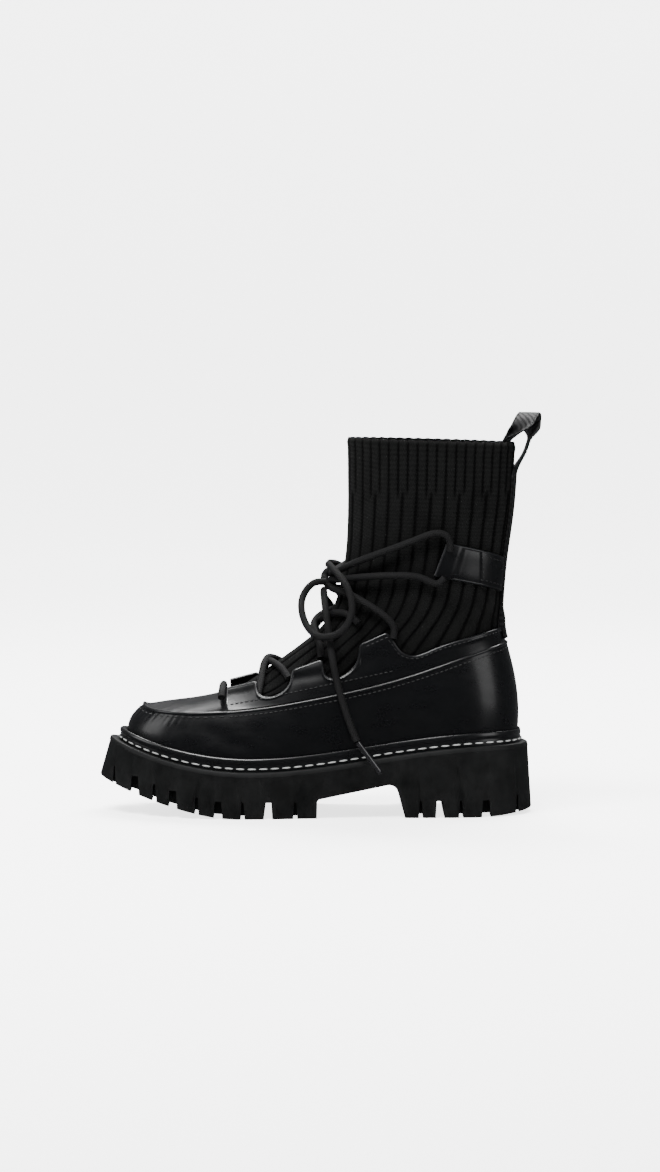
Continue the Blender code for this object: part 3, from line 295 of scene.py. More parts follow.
    def side_panel(self, angle: float, height: float) -> Vector:
        """Return the leather's outside between the sole (0) and the seam (1)."""
        foot = self.feather(angle)
        normal = self.facing(angle)
        base = self.sole_top(foot.x) + GAP
        top = self.seam(angle)
        share = max(height, 0.0) ** self.by_facing(normal, 3.4, 1.7, 2.2)
        bulge = self.by_facing(normal, 0.0004, 0.0016, 0.0022) * math.sin(
            math.pi * min(max(height, 0.0), 1.0) ** 0.8)
        return Vector((foot.x + (top.x - foot.x) * share + normal.x * bulge,
                       foot.y + (top.y - foot.y) * share + normal.y * bulge, base + (top.z - base) * height))

    def side_out(self, angle: float, height: float, distance: float) -> Vector:
        """Return a point at a distance outside the side panel."""
        if height <= 0.0:
            point = self.outline(angle, distance, distance, distance)
            point.z = self.sole_top(point.x) + GAP
            return point
        return self.side_panel(angle, height) + normal_of(self.side_panel, angle, min(height, 0.98)) * distance

    def angle_at(self, x: float, level: float = 0.0) -> float:
        """Return the angle at which a ring passes a place along the foot."""
        front_x = self.columns[0](level)
        return turn_of((x - front_x) / (self.columns[2](level) - front_x))

    def level_at(self, angle: float, x: float) -> float:
        """Return the level at which the line up the form passes a place along the foot."""
        if self.form(angle, 0.0).x >= x:
            return 0.0
        return halve(0.0, self.top, 30, lambda level: self.form(angle, level).x < x)

    def level_of(self, angle: float, z: float) -> float:
        """Return the level at which the line up the form reaches a height."""
        key = (round(angle, 5), round(z, 6))
        if key not in self.levels:
            self.levels[key] = halve(0.0, self.top, 22, lambda level: self.form(angle, level).z < z)
        return self.levels[key]

    def shaft_point(self, angle: float, z: float, distance: float) -> Vector:
        """Return a point on the shaft at an angle and a height."""
        return self.out(angle, self.level_of(angle, z), distance)

    def rear_point(self, y: float, z: float, distance: float) -> Vector:
        """Return a point on the shaft's rear at a sideways place and a height."""
        level = self.level_of(math.pi, z)
        turn = halve(math.pi * 0.6, math.pi, 18, lambda angle: abs(self.form(angle, level).y) > abs(y))
        return self.out(turn * (1.0 if y < 0.0 else -1.0), level, distance)


def normal_of(surface: Surface, angle: float, height: float) -> Vector:
    """Return the outward normal of a surface given by an angle and a height."""
    around = surface(angle + 0.01, height) - surface(angle - 0.01, height)
    upward = surface(angle, height + 0.01) - surface(angle, max(height - 0.01, 0.0))
    return around.cross(upward).normalized()


# ---------------------------------------------------------------------------------------- finishes


class Wiring:
    """The nodes of one material and the links between them."""

    def __init__(self, made: bpy.types.Material) -> None:
        """Take a new material with its shader."""
        self.tree = made.node_tree
        self.shader = self.tree.nodes["Principled BSDF"]

    def feed(self, source: Socket, name: str) -> None:
        """Link a socket to one of the shader's inputs."""
        self.tree.links.new(source, self.shader.inputs[name])

    def node(self, kind: str, source: Socket | None = None, **values: object) -> bpy.types.Node:
        """Add a node.

        Args:
            kind: The node's type, without its prefix.
            source: What its first input takes, or none.
            values: Options by attribute name, or inputs by name.

        Returns:
            The node.
        """
        made = self.tree.nodes.new("ShaderNode" + kind)
        for key, value in values.items():
            if hasattr(made, key):
                setattr(made, key, value)
            else:
                made.inputs[key].default_value = value
        if source is not None:
            self.tree.links.new(source, made.inputs[0])
        return made

    def coordinates(self, kind: str, scale: Sequence[float] = (1.0, 1.0, 1.0)) -> Socket:
        """Return object or UV coordinates, stretched by a scale."""
        return self.node("Mapping", self.node("TexCoord").outputs[kind], Scale=scale).outputs["Vector"]

    def parts(self, kind: str) -> tuple[Socket, ...]:
        """Return the three parts of the plain object or UV coordinates."""
        return tuple(self.node("SeparateXYZ", self.node("TexCoord").outputs[kind]).outputs)

    def noise(self, vector: Socket, scale: float, detail: float = 3.0, roughness: float = 0.5) -> Socket:
        """Return soft noise at a scale per metre."""
        return self.node("TexNoise", vector, Scale=scale, Detail=detail, Roughness=roughness).outputs["Fac"]

    def cells(self, vector: Socket, scale: float) -> Socket:
        """Return rounded cells at a scale per metre."""
        node = self.node("TexVoronoi", vector, feature="SMOOTH_F1", Scale=scale, Smoothness=0.6)
        return node.outputs["Distance"]

    def maths(self, operation: str, first: object, second: object = 0.0, clamp: bool = False) -> Socket:
        """Return a sum of two sockets or numbers."""
        node = self.node("Math", operation=operation, use_clamp=clamp)
        for place, value in enumerate((first, second)):
            if isinstance(value, Socket):
                self.tree.links.new(value, node.inputs[place])
            else:
                node.inputs[place].default_value = value
        return node.outputs[0]

    def ranged(self, value: Socket, low: float, high: float, to_low: float, to_high: float) -> Socket:
        """Map a range of values to another."""
        node = self.node("MapRange", value)
        for place, number in enumerate((low, high, to_low, to_high), 1):
            node.inputs[place].default_value = number
        return node.outputs[0]

    def colours(self, factor: Socket, first: Colour, second: Colour) -> None:
        """Blend two colours by a factor into the shader's colour."""
        node = self.node("ValToRGB", factor)
        for element, colour in zip(node.color_ramp.elements, (first, second)):
            element.color = colour + (1.0,)
        self.feed(node.outputs["Color"], "Base Color")

    def relief(self, *layers: tuple[Socket, float], coat: bool = False) -> None:
        """Stack bumps on the shader.

        Args:
            layers: Height sockets with the height in metres of a full step.
            coat: Whether the coat takes the bumps too.
        """
        last = None
        for height, depth in layers:
            bump = self.node("Bump", Strength=1.0, Distance=depth)
            self.tree.links.new(height, bump.inputs["Height"])
            if last is not None:
                self.tree.links.new(last, bump.inputs["Normal"])
            last = bump.outputs["Normal"]
        self.feed(last, "Normal")
        if coat:
            self.feed(last, "Coat Normal")


@dataclass(frozen=True)
class Finish:
    """A surface of one material: its colour, gloss and coat."""

    name: str
    colour: Colour
    roughness: float
    coat: float = 0.0
    coat_roughness: float = 0.1
    specular: float = 0.5

    def start(self) -> tuple[bpy.types.Material, Wiring]:
        """Make the material with its even values set on the shader's own sockets.

        Returns:
            The material and its wiring.
        """
        made = bpy.data.materials.new(self.name)
        made.use_nodes = True
        wiring = Wiring(made)
        for key, value in (("Base Color", self.colour + (1.0,)), ("Roughness", self.roughness),
                           ("Coat Weight", self.coat), ("Coat Roughness", self.coat_roughness),
                           ("Specular IOR Level", self.specular)):
            wiring.shader.inputs[key].default_value = value
        return made, wiring

    def tint(self, share: float) -> Colour:
        """Return a darker or lighter shade of the colour."""
        return tuple(part * share for part in self.colour)


@dataclass(frozen=True)
class PolishedLeather(Finish):
    """Glossy black leather: fine grain, soft unevenness, a hard coat."""

    grain: float = 1500.0

    def make(self) -> bpy.types.Material:
        """Return the material."""
        made, wiring = self.start()
        place = wiring.coordinates("Object")
        wide = wiring.noise(place, 45.0, 1.0)
        fine = wiring.cells(place, self.grain)
        pull = wiring.noise(wiring.coordinates("Object", (0.4, 1.0, 1.2)), 150.0, 3.0, 0.6)
        wiring.colours(wide, self.tint(0.75), self.tint(1.35))
        wiring.feed(wiring.ranged(pull, 0.3, 0.7, self.roughness * 0.82, self.roughness * 1.25), "Roughness")
        wiring.relief((wide, 0.00035), (fine, 0.000006), coat=True)
        return made


@dataclass(frozen=True)
class RibbedKnit(Finish):
    """Matte knit: columns of small V stitches on the piece's own UV map, in stitches, with painted shade in the
    hollows.
    """

    def make(self) -> bpy.types.Material:
        """Return the material."""
        made, wiring = self.start()
        wiring.shader.inputs["Sheen Weight"].default_value = 0.006
        wiring.shader.inputs["Sheen Roughness"].default_value = 0.5
        across, along, _ = wiring.parts("UV")
        column = wiring.maths("ABSOLUTE", wiring.maths("SUBTRACT", wiring.maths("FRACT", across), 0.5))
        lean = wiring.maths("MULTIPLY", column, 1.1)
        row = wiring.maths("FRACT", wiring.maths("ADD", along, lean))
        leg = wiring.maths("SINE", wiring.maths("MULTIPLY", row, math.pi))
        stem = wiring.maths("SINE", wiring.maths("MULTIPLY", column, 2.0 * math.pi))
        stitch = wiring.maths("MULTIPLY", leg, wiring.ranged(stem, 0.0, 1.0, 0.25, 1.0))
        fuzz = wiring.noise(wiring.coordinates("Object"), 2600.0, 4.0, 0.7)
        patches = wiring.noise(wiring.coordinates("Object"), 60.0, 2.0)
        # Painted shade: the colour darkens with the depth in the grooves between the ribs.
        groove = wiring.node("Attribute", attribute_name="groove").outputs["Fac"]
        # Painted shade: the stitch height also sets the colour, darker between the loops; the patches are random
        # tone.
        shade = wiring.maths("ADD", wiring.maths("MULTIPLY", stitch, 0.5), wiring.maths("MULTIPLY", patches, 0.5))
        shade = wiring.maths("SUBTRACT", shade, wiring.maths("MULTIPLY", groove, 0.9), clamp=True)
        wiring.colours(shade, self.tint(0.10), self.tint(1.9))
        wiring.relief((stitch, 0.00030), (fuzz, 0.00008))
        return made


@dataclass(frozen=True)
class MouldedRubber(Finish):
    """Black rubber: slightly mottled, with the faint grain of the mould and dull streaks."""

    grain: float = 900.0
    mottle: float = 0.35

    def make(self) -> bpy.types.Material:
        """Return the material."""
        made, wiring = self.start()
        place = wiring.coordinates("Object")
        patches = wiring.noise(place, 70.0, 5.0, 0.65)
        specks = wiring.noise(place, self.grain, 2.0)
        streaks = wiring.noise(wiring.coordinates("Object", (1.0, 1.0, 0.25)), 260.0, 3.0, 0.6)
        both = wiring.maths("ADD", wiring.maths("MULTIPLY", patches, 0.7), wiring.maths("MULTIPLY", streaks, 0.3))
        wiring.colours(wiring.ranged(both, 0.36, 0.64, 0.0, 1.0), self.tint(1.0 - self.mottle),
                       self.tint(1.0 + self.mottle))
        wiring.feed(wiring.ranged(both, 0.35, 0.65, self.roughness * 0.85, self.roughness * 1.15), "Roughness")
        wiring.relief((patches, 0.00012), (specks, 0.000025), coat=self.coat > 0.0)
        return made


@dataclass(frozen=True)
class BraidedCord(Finish):
    """A braid on a tube's own UV map: u round the cord, v along it in diameters, with painted shade between the
    strands.
    """

    strands: float = 4.0
    turns: float = 1.25
    depth: float = 0.00035

    def make(self) -> bpy.types.Material:
        """Return the material."""
        made, wiring = self.start()
        across, up, _ = wiring.parts("UV")
        around = wiring.maths("MULTIPLY", across, self.strands)
        along = wiring.maths("MULTIPLY", up, self.turns)
        waves = [wiring.maths("ABSOLUTE", wiring.maths("SINE", wiring.maths(
            "MULTIPLY", wiring.maths(hand, around, along), 2.0 * math.pi))) for hand in ("ADD", "SUBTRACT")]
        weave = wiring.maths("MAXIMUM", *waves)
        threads = wiring.noise(wiring.coordinates("UV", (60.0, 6.0, 1.0)), 1.0, 2.0)
        # Painted shade: the colour follows the braid's height, darker in the hollows between the strands.
        wiring.colours(wiring.ranged(weave, 0.4, 1.0, 0.0, 1.0), self.tint(0.35), self.tint(1.4))
        wiring.relief((weave, self.depth), (threads, 0.00006))
        return made


@dataclass(frozen=True)
class WovenStrip(Finish):
    """A dark woven tape: diagonal ticks on the piece's own UV map, in millimetres, with painted shade in the low
    bands.
    """

    def make(self) -> bpy.types.Material:
        """Return the material."""
        made, wiring = self.start()
        wave = wiring.node("TexWave", wiring.coordinates("UV"), wave_type="BANDS", bands_direction="DIAGONAL",
                           Scale=0.16, Distortion=0.6, Detail=1.0).outputs["Fac"]
        fine = wiring.noise(wiring.coordinates("UV"), 2.5, 3.0)
        # Painted shade: the colour follows the weave's height, darker in its low bands.
        wiring.colours(wave, self.tint(0.5), self.tint(1.5))
        wiring.relief((wave, 0.00022), (fine, 0.00010))
        return made


@dataclass(frozen=True)
class TwistedThread(Finish):
    """Sewing thread, with a light twist."""

    def make(self) -> bpy.types.Material:
        """Return the material."""
        made, wiring = self.start()
        twist = wiring.noise(wiring.coordinates("Object"), 1800.0, 2.0)
        wiring.colours(twist, self.tint(0.75), self.colour)
        wiring.relief((twist, 0.00008))
        return made


class Finishes:
    """Every finish of the boot, made once."""

    def __init__(self) -> None:
        """Make the materials."""
        self.leather = PolishedLeather("polished_leather", (0.0009, 0.0010, 0.0012), 0.30, 0.22, 0.22, 0.14).make()
        self.apron = PolishedLeather("apron_leather", (0.0009, 0.0010, 0.0012), 0.34, 0.18, 0.26, 0.14).make()
        # Painted highlight: the rolled edges are the same leather as the upper, coloured lighter.
        self.edge = PolishedLeather("rolled_edge_painted_highlight", (0.0014, 0.0015, 0.0018), 0.32, 0.28, 0.24, 0.22).make()
        self.knit = RibbedKnit("ribbed_knit", (0.0021, 0.0022, 0.0021), 0.95, specular=0.06).make()
        self.rubber = MouldedRubber("sole_rubber_moulded", (0.0028, 0.0030, 0.0030), 0.55, specular=0.11).make()
        self.welt = MouldedRubber("welt_glossy", (0.0010, 0.0011, 0.0013), 0.30, 0.34, 0.20, 0.20, mottle=0.15).make()
        self.strip = WovenStrip("woven_strip", (0.0016, 0.0016, 0.0018), 0.60, specular=0.15).make()
        # Painted highlight: the strip's inner face is the same black satin, coloured lighter.
        self.pale = WovenStrip("loop_inner_painted_highlight", (0.0060, 0.0062, 0.0066), 0.65, specular=0.3).make()
        self.cord = BraidedCord("braided_lace", (0.0023, 0.0023, 0.0024), 0.80, specular=0.12).make()
        self.tip = MouldedRubber("lace_tip_plastic", (0.0030, 0.0030, 0.0034), 0.22, 0.5, 0.1, mottle=0.1).make()
        self.thread = TwistedThread("light_thread", (0.21, 0.215, 0.21), 0.7, specular=0.2).make()
        self.dark_thread = TwistedThread("dark_thread", (0.0042, 0.0044, 0.0048), 0.5, specular=0.3).make()
        self.lining = RibbedKnit("insole_textile", (0.0040, 0.0038, 0.0036), 0.9, specular=0.1).make()


# ---------------------------------------------------------------------------------------- making meshes


def show(name: str, mesh_data: Mesh, materials: Sequence[bpy.types.Material],
         replaces: Sequence[str] = (), weld: float = 0.00001, outward: bool = True,
         sharp: float = 50.0) -> bpy.types.Object:
    """Finish a bmesh as a piece that rides on the boot.

    Args:
        name: The piece's name.
        mesh_data: Its shape in the boot's own coordinates.
        materials: Its materials by index.
        replaces: The CAD nodes that it stands for.
        weld: How near doubles are merged.
        outward: Whether the normals are recalculated.
        sharp: Edges turned by more degrees than this stay sharp.

    Returns:
        The piece.
    """
    if weld > 0.0:
        bmesh.ops.remove_doubles(mesh_data, verts=mesh_data.verts, dist=weld)
    if outward:
        bmesh.ops.recalc_face_normals(mesh_data, faces=mesh_data.faces)
    bmesh.ops.translate(mesh_data, verts=mesh_data.verts, vec=SHIFT)
    mesh = bpy.data.meshes.new(name)
    mesh_data.to_mesh(mesh)
    mesh_data.free()
    for made in materials:
        mesh.materials.append(made)
    mesh.shade_smooth()
    mesh.set_sharp_from_angle(angle=math.radians(sharp))
    piece = bpy.data.objects.new(name, mesh)
    bpy.context.scene.collection.objects.link(piece)
    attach(piece, BODY)
    if replaces:
        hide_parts(*replaces)
    LOG.info("%s: %d faces", name, len(mesh.polygons))
    return piece


def show_laid(name: str, mesh_data: Mesh, finish: bpy.types.Material,
              replaces: Sequence[str] = ()) -> bpy.types.Object:
    """Show a piece of one material as it was laid, without merging or turning its faces."""
    return show(name, mesh_data, (finish,), replaces, weld=0.0, outward=False)


def lay_grid(mesh_data: Mesh, columns: int, rows: int, place: Surface,
             tag: Callable[[float, float], tuple[float, float]] | None = None,
             mark: Callable[[float, float], float] | None = None) -> list[bmesh.types.BMFace]:
    """Lay a grid on a surface.

    Args:
        mesh_data: Takes the grid.
        columns: Steps along the first share.
        rows: Steps along the second share.
        place: The point at two shares from 0 to 1.
        tag: The UV at two shares, or none.
        mark: How deep in a groove a point lies, kept as an attribute, or none.

    Returns:
        The grid's faces.
    """
    made = bmesh.ops.create_grid(mesh_data, x_segments=columns, y_segments=rows, size=0.5)
    shares = {vertex: shares_of(vertex.co, columns, rows) for vertex in made["verts"]}
    faces = list({face for vertex in made["verts"] for face in vertex.link_faces})
    if tag is not None:
        layer = mesh_data.loops.layers.uv.verify()
        for face in faces:
            for loop in face.loops:
                loop[layer].uv = tag(*shares[loop.vert])
    if mark is not None:
        depths = mesh_data.verts.layers.float.get("groove") or mesh_data.verts.layers.float.new("groove")
        shares = {vertex: shares_of(vertex.co, columns, rows) for vertex in {v for f in faces for v in f.verts}}
        for vertex, (first, second) in shares.items():
            vertex[depths] = mark(first, second)
    for vertex, (first, second) in shares.items():
        vertex.co = place(first, second)
    return faces


def shares_of(spot: Vector, columns: int, rows: int) -> tuple[float, float]:
    """Return the two shares of a point of the flat grid."""
    return round((spot.x + 0.5) * columns) / columns, round((spot.y + 0.5) * rows) / rows


def smooth_route(points: Route, step: float) -> list[Vector]:
    """Return points a step apart on a smooth curve through a route's own points."""
    spots = [Vector(point) for point in points]
    marks = [0.0]
    for a, b in zip(spots, spots[1:]):
        marks.append(marks[-1] + (b - a).length)
    curves = [Spline(marks, [spot[axis] for spot in spots]) for axis in range(3)]
    count = max(2, round(marks[-1] / step))
    return [Vector([curve(marks[-1] * i / count) for curve in curves]) for i in range(count + 1)]


def even_route(points: Sequence[Vector], step: float) -> list[Vector]:
    """Return points an even step apart along a broken line."""
    result = [points[0].copy()]
    left = step
    for a, b in zip(points, points[1:]):
        span = (b - a).length
        done = 0.0
        while span - done >= left:
            done += left
            result.append(a.lerp(b, done / span))
            left = step
        left -= span - done
    return result


def tube(mesh_data: Mesh, route: Sequence[Vector], radius: Callable[[float], float], sides: int = 14) -> None:
    """Sweep a circle along a route, with flat filled ends and a UV map round and along it.

    Args:
        mesh_data: Takes the tube.
        route: The middle line.
        radius: The radius at a share of the length.
        sides: Points round it.
    """
    count = len(route) - 1
    frames = []
    across = None
    for i, spot in enumerate(route):
        along = (route[min(i + 1, count)] - route[max(i - 1, 0)]).normalized()
        if across is None:
            across = along.orthogonal()
        across = (across - along * across.dot(along)).normalized()
        frames.append((spot, across.copy(), along.cross(across)))
    lengths = [0.0]
    for a, b in zip(route, route[1:]):
        lengths.append(lengths[-1] + (b - a).length)

    def place(first: float, second: float) -> Vector:
        """Return a point of the tube."""
        spot, one, two = frames[round(second * count)]
        bend = 2.0 * math.pi * first
        return spot + (one * math.cos(bend) + two * math.sin(bend)) * radius(second)

    wide = max(radius(0.5), 0.0001) * 2.0
    faces = lay_grid(mesh_data, sides, count, place,
                     lambda first, second: (first, lengths[round(second * count)] / wide))
    ends = [[v for v in {v for f in faces for v in f.verts} if (v.co - route[k]).length <= radius(s) * 1.001]
            for k, s in ((0, 0.0), (-1, 1.0))]
    bmesh.ops.remove_doubles(mesh_data, verts=list({v for f in faces for v in f.verts}), dist=0.000004)
    for k, group in zip((0, -1), ends):
        edges = [e for v in group if v.is_valid for e in v.link_edges if e.is_boundary]
        bmesh.ops.holes_fill(mesh_data, edges=list(set(edges)), sides=sides + 2)


def sew(mesh_data: Mesh, spots: Sequence[Vector], normals: Sequence[Vector], pitch: float,
        length: float, thick: float, sink: float) -> None:
    """Lay short rounded stitches along a line.

    Args:
        mesh_data: Takes the stitches.
        spots: The line.
        normals: The surface's normal at each point of it.
        pitch: From stitch to stitch.
        length: A stitch's length.
        thick: A stitch's thickness.
        sink: How deep it lies, as a share of its thickness.
    """
    marks = [0.0]
    for a, b in zip(spots, spots[1:]):
        marks.append(marks[-1] + (b - a).length)
    count = int(marks[-1] / pitch)
    hand = 0
    for i in range(count):
        reach = (i + 0.5) * marks[-1] / count
        while hand < len(marks) - 2 and marks[hand + 1] < reach:
            hand += 1
        share = (reach - marks[hand]) / max(marks[hand + 1] - marks[hand], 1e-9)
        spot = spots[hand].lerp(spots[hand + 1], share)
        along = (spots[hand + 1] - spots[hand]).normalized()
        up = normals[hand].lerp(normals[hand + 1], share).normalized()
        across = up.cross(along).normalized()
        turn = Matrix((along, across, up)).transposed().to_4x4()
        size = Matrix.Diagonal((length / 2.0, thick / 2.0, thick / 2.0, 1.0))
        matrix = Matrix.Translation(spot + up * thick * (0.5 - sink)) @ turn @ size
        bmesh.ops.create_uvsphere(mesh_data, u_segments=8, v_segments=6, radius=1.0,
                                  matrix=matrix @ Matrix.Rotation(math.pi / 2.0, 4, "Y"))


def loft_wall(columns: int, rows: int, outside: Surface, inside: Surface, closed: bool,
              tag: Callable[[float, float], tuple[float, float]] | None = None,
              mark: Callable[[float, float], float] | None = None) -> Mesh:
    """Make a thin wall from its outer and inner surface, closed round its edges.

    Args:
        columns: Steps round.
        rows: Steps up.
        outside: The outer surface at two shares.
        inside: The inner surface at two shares.
        closed: Whether it runs all the way round.
        tag: The UV at two shares, or none.
        mark: The depth in a groove at two shares, or none.

    Returns:
        The wall.
    """
    mesh_data = bmesh.new()
    for index, surface in enumerate((outside, inside)):
        for face in lay_grid(mesh_data, columns, rows, surface, tag, mark):
            face.material_index = index
    for share in (0.0, 1.0):
        lay_grid(mesh_data, columns, 1,
                 lambda first, second: (inside if second > 0.5 else outside)(first, share),
                 None if tag is None else lambda first, second: tag(first, share),
                 None if mark is None else lambda first, second: mark(first, share))
        if not closed:
            lay_grid(mesh_data, 1, rows,
                     lambda first, second: (inside if first > 0.5 else outside)(share, second),
                     None if tag is None else lambda first, second: tag(share, second),
                     None if mark is None else lambda first, second: mark(share, second))
    bmesh.ops.remove_doubles(mesh_data, verts=mesh_data.verts, dist=0.000005)
    return mesh_data


# ---------------------------------------------------------------------------------------- the upper


@dataclass
class LeatherUpper:
    """The side panel and the apron, with the raised seam, its puckers and its stitches."""

    last: Last
    finishes: Finishes
    wall: float = 0.0020
    pucker_pitch: float = 0.0052
    pucker_depth: float = 0.00022
    crease_depth: float = 0.0007
    # place, share of the height, reach along, reach up, share of the depth
    creases: tuple[tuple[float, ...], ...] = (
        (-0.066, 0.62, 0.010, 0.16, 0.8), (-0.050, 0.45, 0.008, 0.14, 1.0), (-0.036, 0.58, 0.007, 0.12, 0.7),
        (0.072, 0.50, 0.020, 0.22, 0.9))
    edge_radius: float = 0.0012
    throat_radius: float = 0.0009

    def side(self, angle: float, height: float) -> Vector:
        """Return the side panel's outside, with its puckers and soft creases."""
        point = self.last.side_out(angle, height, 0.0)
        turn = abs(angle)
        near_toe = smooth_step((self.last.corner * 1.05 - turn) / (self.last.corner * 0.25))
        arc = self.last.seam(angle)
        reach = math.atan2(arc.y, -(arc.x + 0.070)) * 0.040
        tick = abs(math.sin(math.pi * reach / self.pucker_pitch))
        depth = self.pucker_depth * near_toe * (1.0 - tick) ** 2 * smooth_step((height - 0.62) / 0.30)
        crease = 0.0
        for place, rise, run, tall, share in self.creases:
            crease += share * bump_at(point.x + (height - rise) * 0.018, place, run) * bump_at(height, rise, tall)
        fold = self.crease_depth * crease * (0.3 if height > 0.98 else 1.0)
        return point - normal_of(self.last.side_panel, angle, min(height, 0.98)) * (depth + fold)

    def side_inside(self, angle: float, height: float) -> Vector:
        """Return the side panel's inside."""
        return self.last.side_out(angle, height, -self.wall)

    def apron(self, first: float, second: float) -> Vector:
        """Return the apron's outside at two shares, puffed slightly between its seams."""
        angle, level = self.apron_place(first, second)
        puff = 0.0006 * math.sin(math.pi * first) ** 0.6 * math.sin(math.pi * min(1.0, second * 0.5 + 0.12))
        ripple = 0.00022 * bump_at(second, 0.10, 0.09) * (1.0 - abs(math.sin(first * math.pi * 14.0)))
        return self.last.out(angle, level, GAP + self.wall - 0.0004 + puff - ripple)

    def apron_inside(self, first: float, second: float) -> Vector:
        """Return the apron's inside."""
        return self.last.out(*self.apron_place(first, second), GAP)

    def apron_place(self, first: float, second: float) -> tuple[float, float]:
        """Return the angle and level of a point of the apron."""
        angle = self.last.corner * (2.0 * first - 1.0)
        key = round(first, 5)
        if key not in self.ends:
            self.ends[key] = self.last.level_at(angle, self.last.throat_x)
        return angle, self.ends[key] * second

    def build(self) -> None:
        """Build and dress the upper."""
        self.ends: dict[float, float] = {}
        leather, lining = self.finishes.leather, self.finishes.lining
        wall = loft_wall(560, 22,
                         lambda first, second: self.side(math.pi * (2.0 * first - 1.0), second),
                         lambda first, second: self.side_inside(math.pi * (2.0 * first - 1.0), second), True)
        show("side_panel", wall, (leather, lining), ("upper",))
        wall = loft_wall(96, 26, self.apron, self.apron_inside, False)
        show("apron", wall, (self.finishes.apron, lining))
        self.build_seam()
        self.build_stitches()

    def build_seam(self) -> None:
        """Build the rolled edge along the seam, standing further out round the toe."""
        piping = bmesh.new()
        corner = self.last.corner
        toe = [self.last.out(corner * (i / 120.0 - 1.0), 0.0, GAP + self.wall - 0.0001) for i in range(241)]
        tube(piping, toe, lambda share: self.edge_radius, 12)
        for side in Side:
            rear = [self.last.out(side.value * (corner + (math.pi - corner) * i / 150.0), 0.0,
                                  GAP + self.wall * 0.75) for i in range(151)]
            tube(piping, rear, lambda share: self.edge_radius, 10)
        throat = [self.apron(i / 60.0, 1.0) for i in range(61)]
        tube(piping, throat, lambda share: self.throat_radius, 8)
        # Painted highlight: the edge finish is the upper's leather coloured lighter.
        show_laid("seam_edge", piping, self.finishes.edge)

    def row(self, start: float, end: float, below: float, steps: int) -> tuple[list[Vector], list[Vector]]:
        """Return a line on the side panel a distance below the seam, with its normals.

        Args:
            start: The first angle.
            end: The last angle.
            below: How far below the seam.
            steps: How many steps.

        Returns:
            The points and the normals.
        """
        spots, normals = [], []
        for i in range(steps + 1):
            angle = start + (end - start) * i / steps
            span = (self.last.seam(angle) - self.last.side_panel(angle, 0.5)).length * 2.0
            height = 1.0 - below / span
            spots.append(self.side(angle, height))
            normals.append(normal_of(self.last.side_panel, angle, min(height, 0.98)))
        return spots, normals

    def build_stitches(self) -> None:
        """Sew the dark dashes round the toe and the rows below the folded edge, in the same dark thread."""
        corner = self.last.corner
        dark = bmesh.new()
        sew(dark, *self.row(-corner, corner, 0.0028, 220), *TOE_SEAM)
        show_laid("toe_stitches", dark, self.finishes.dark_thread)
        light = bmesh.new()
        for side in Side:
            sew(light, *self.row(side.value * corner * 1.02, side.value * math.pi * 0.985, 0.0030, 200), *FINE_SEAM)
        show_laid("edge_stitches", light, self.finishes.dark_thread)


# ---------------------------------------------------------------------------------------- the lace tabs


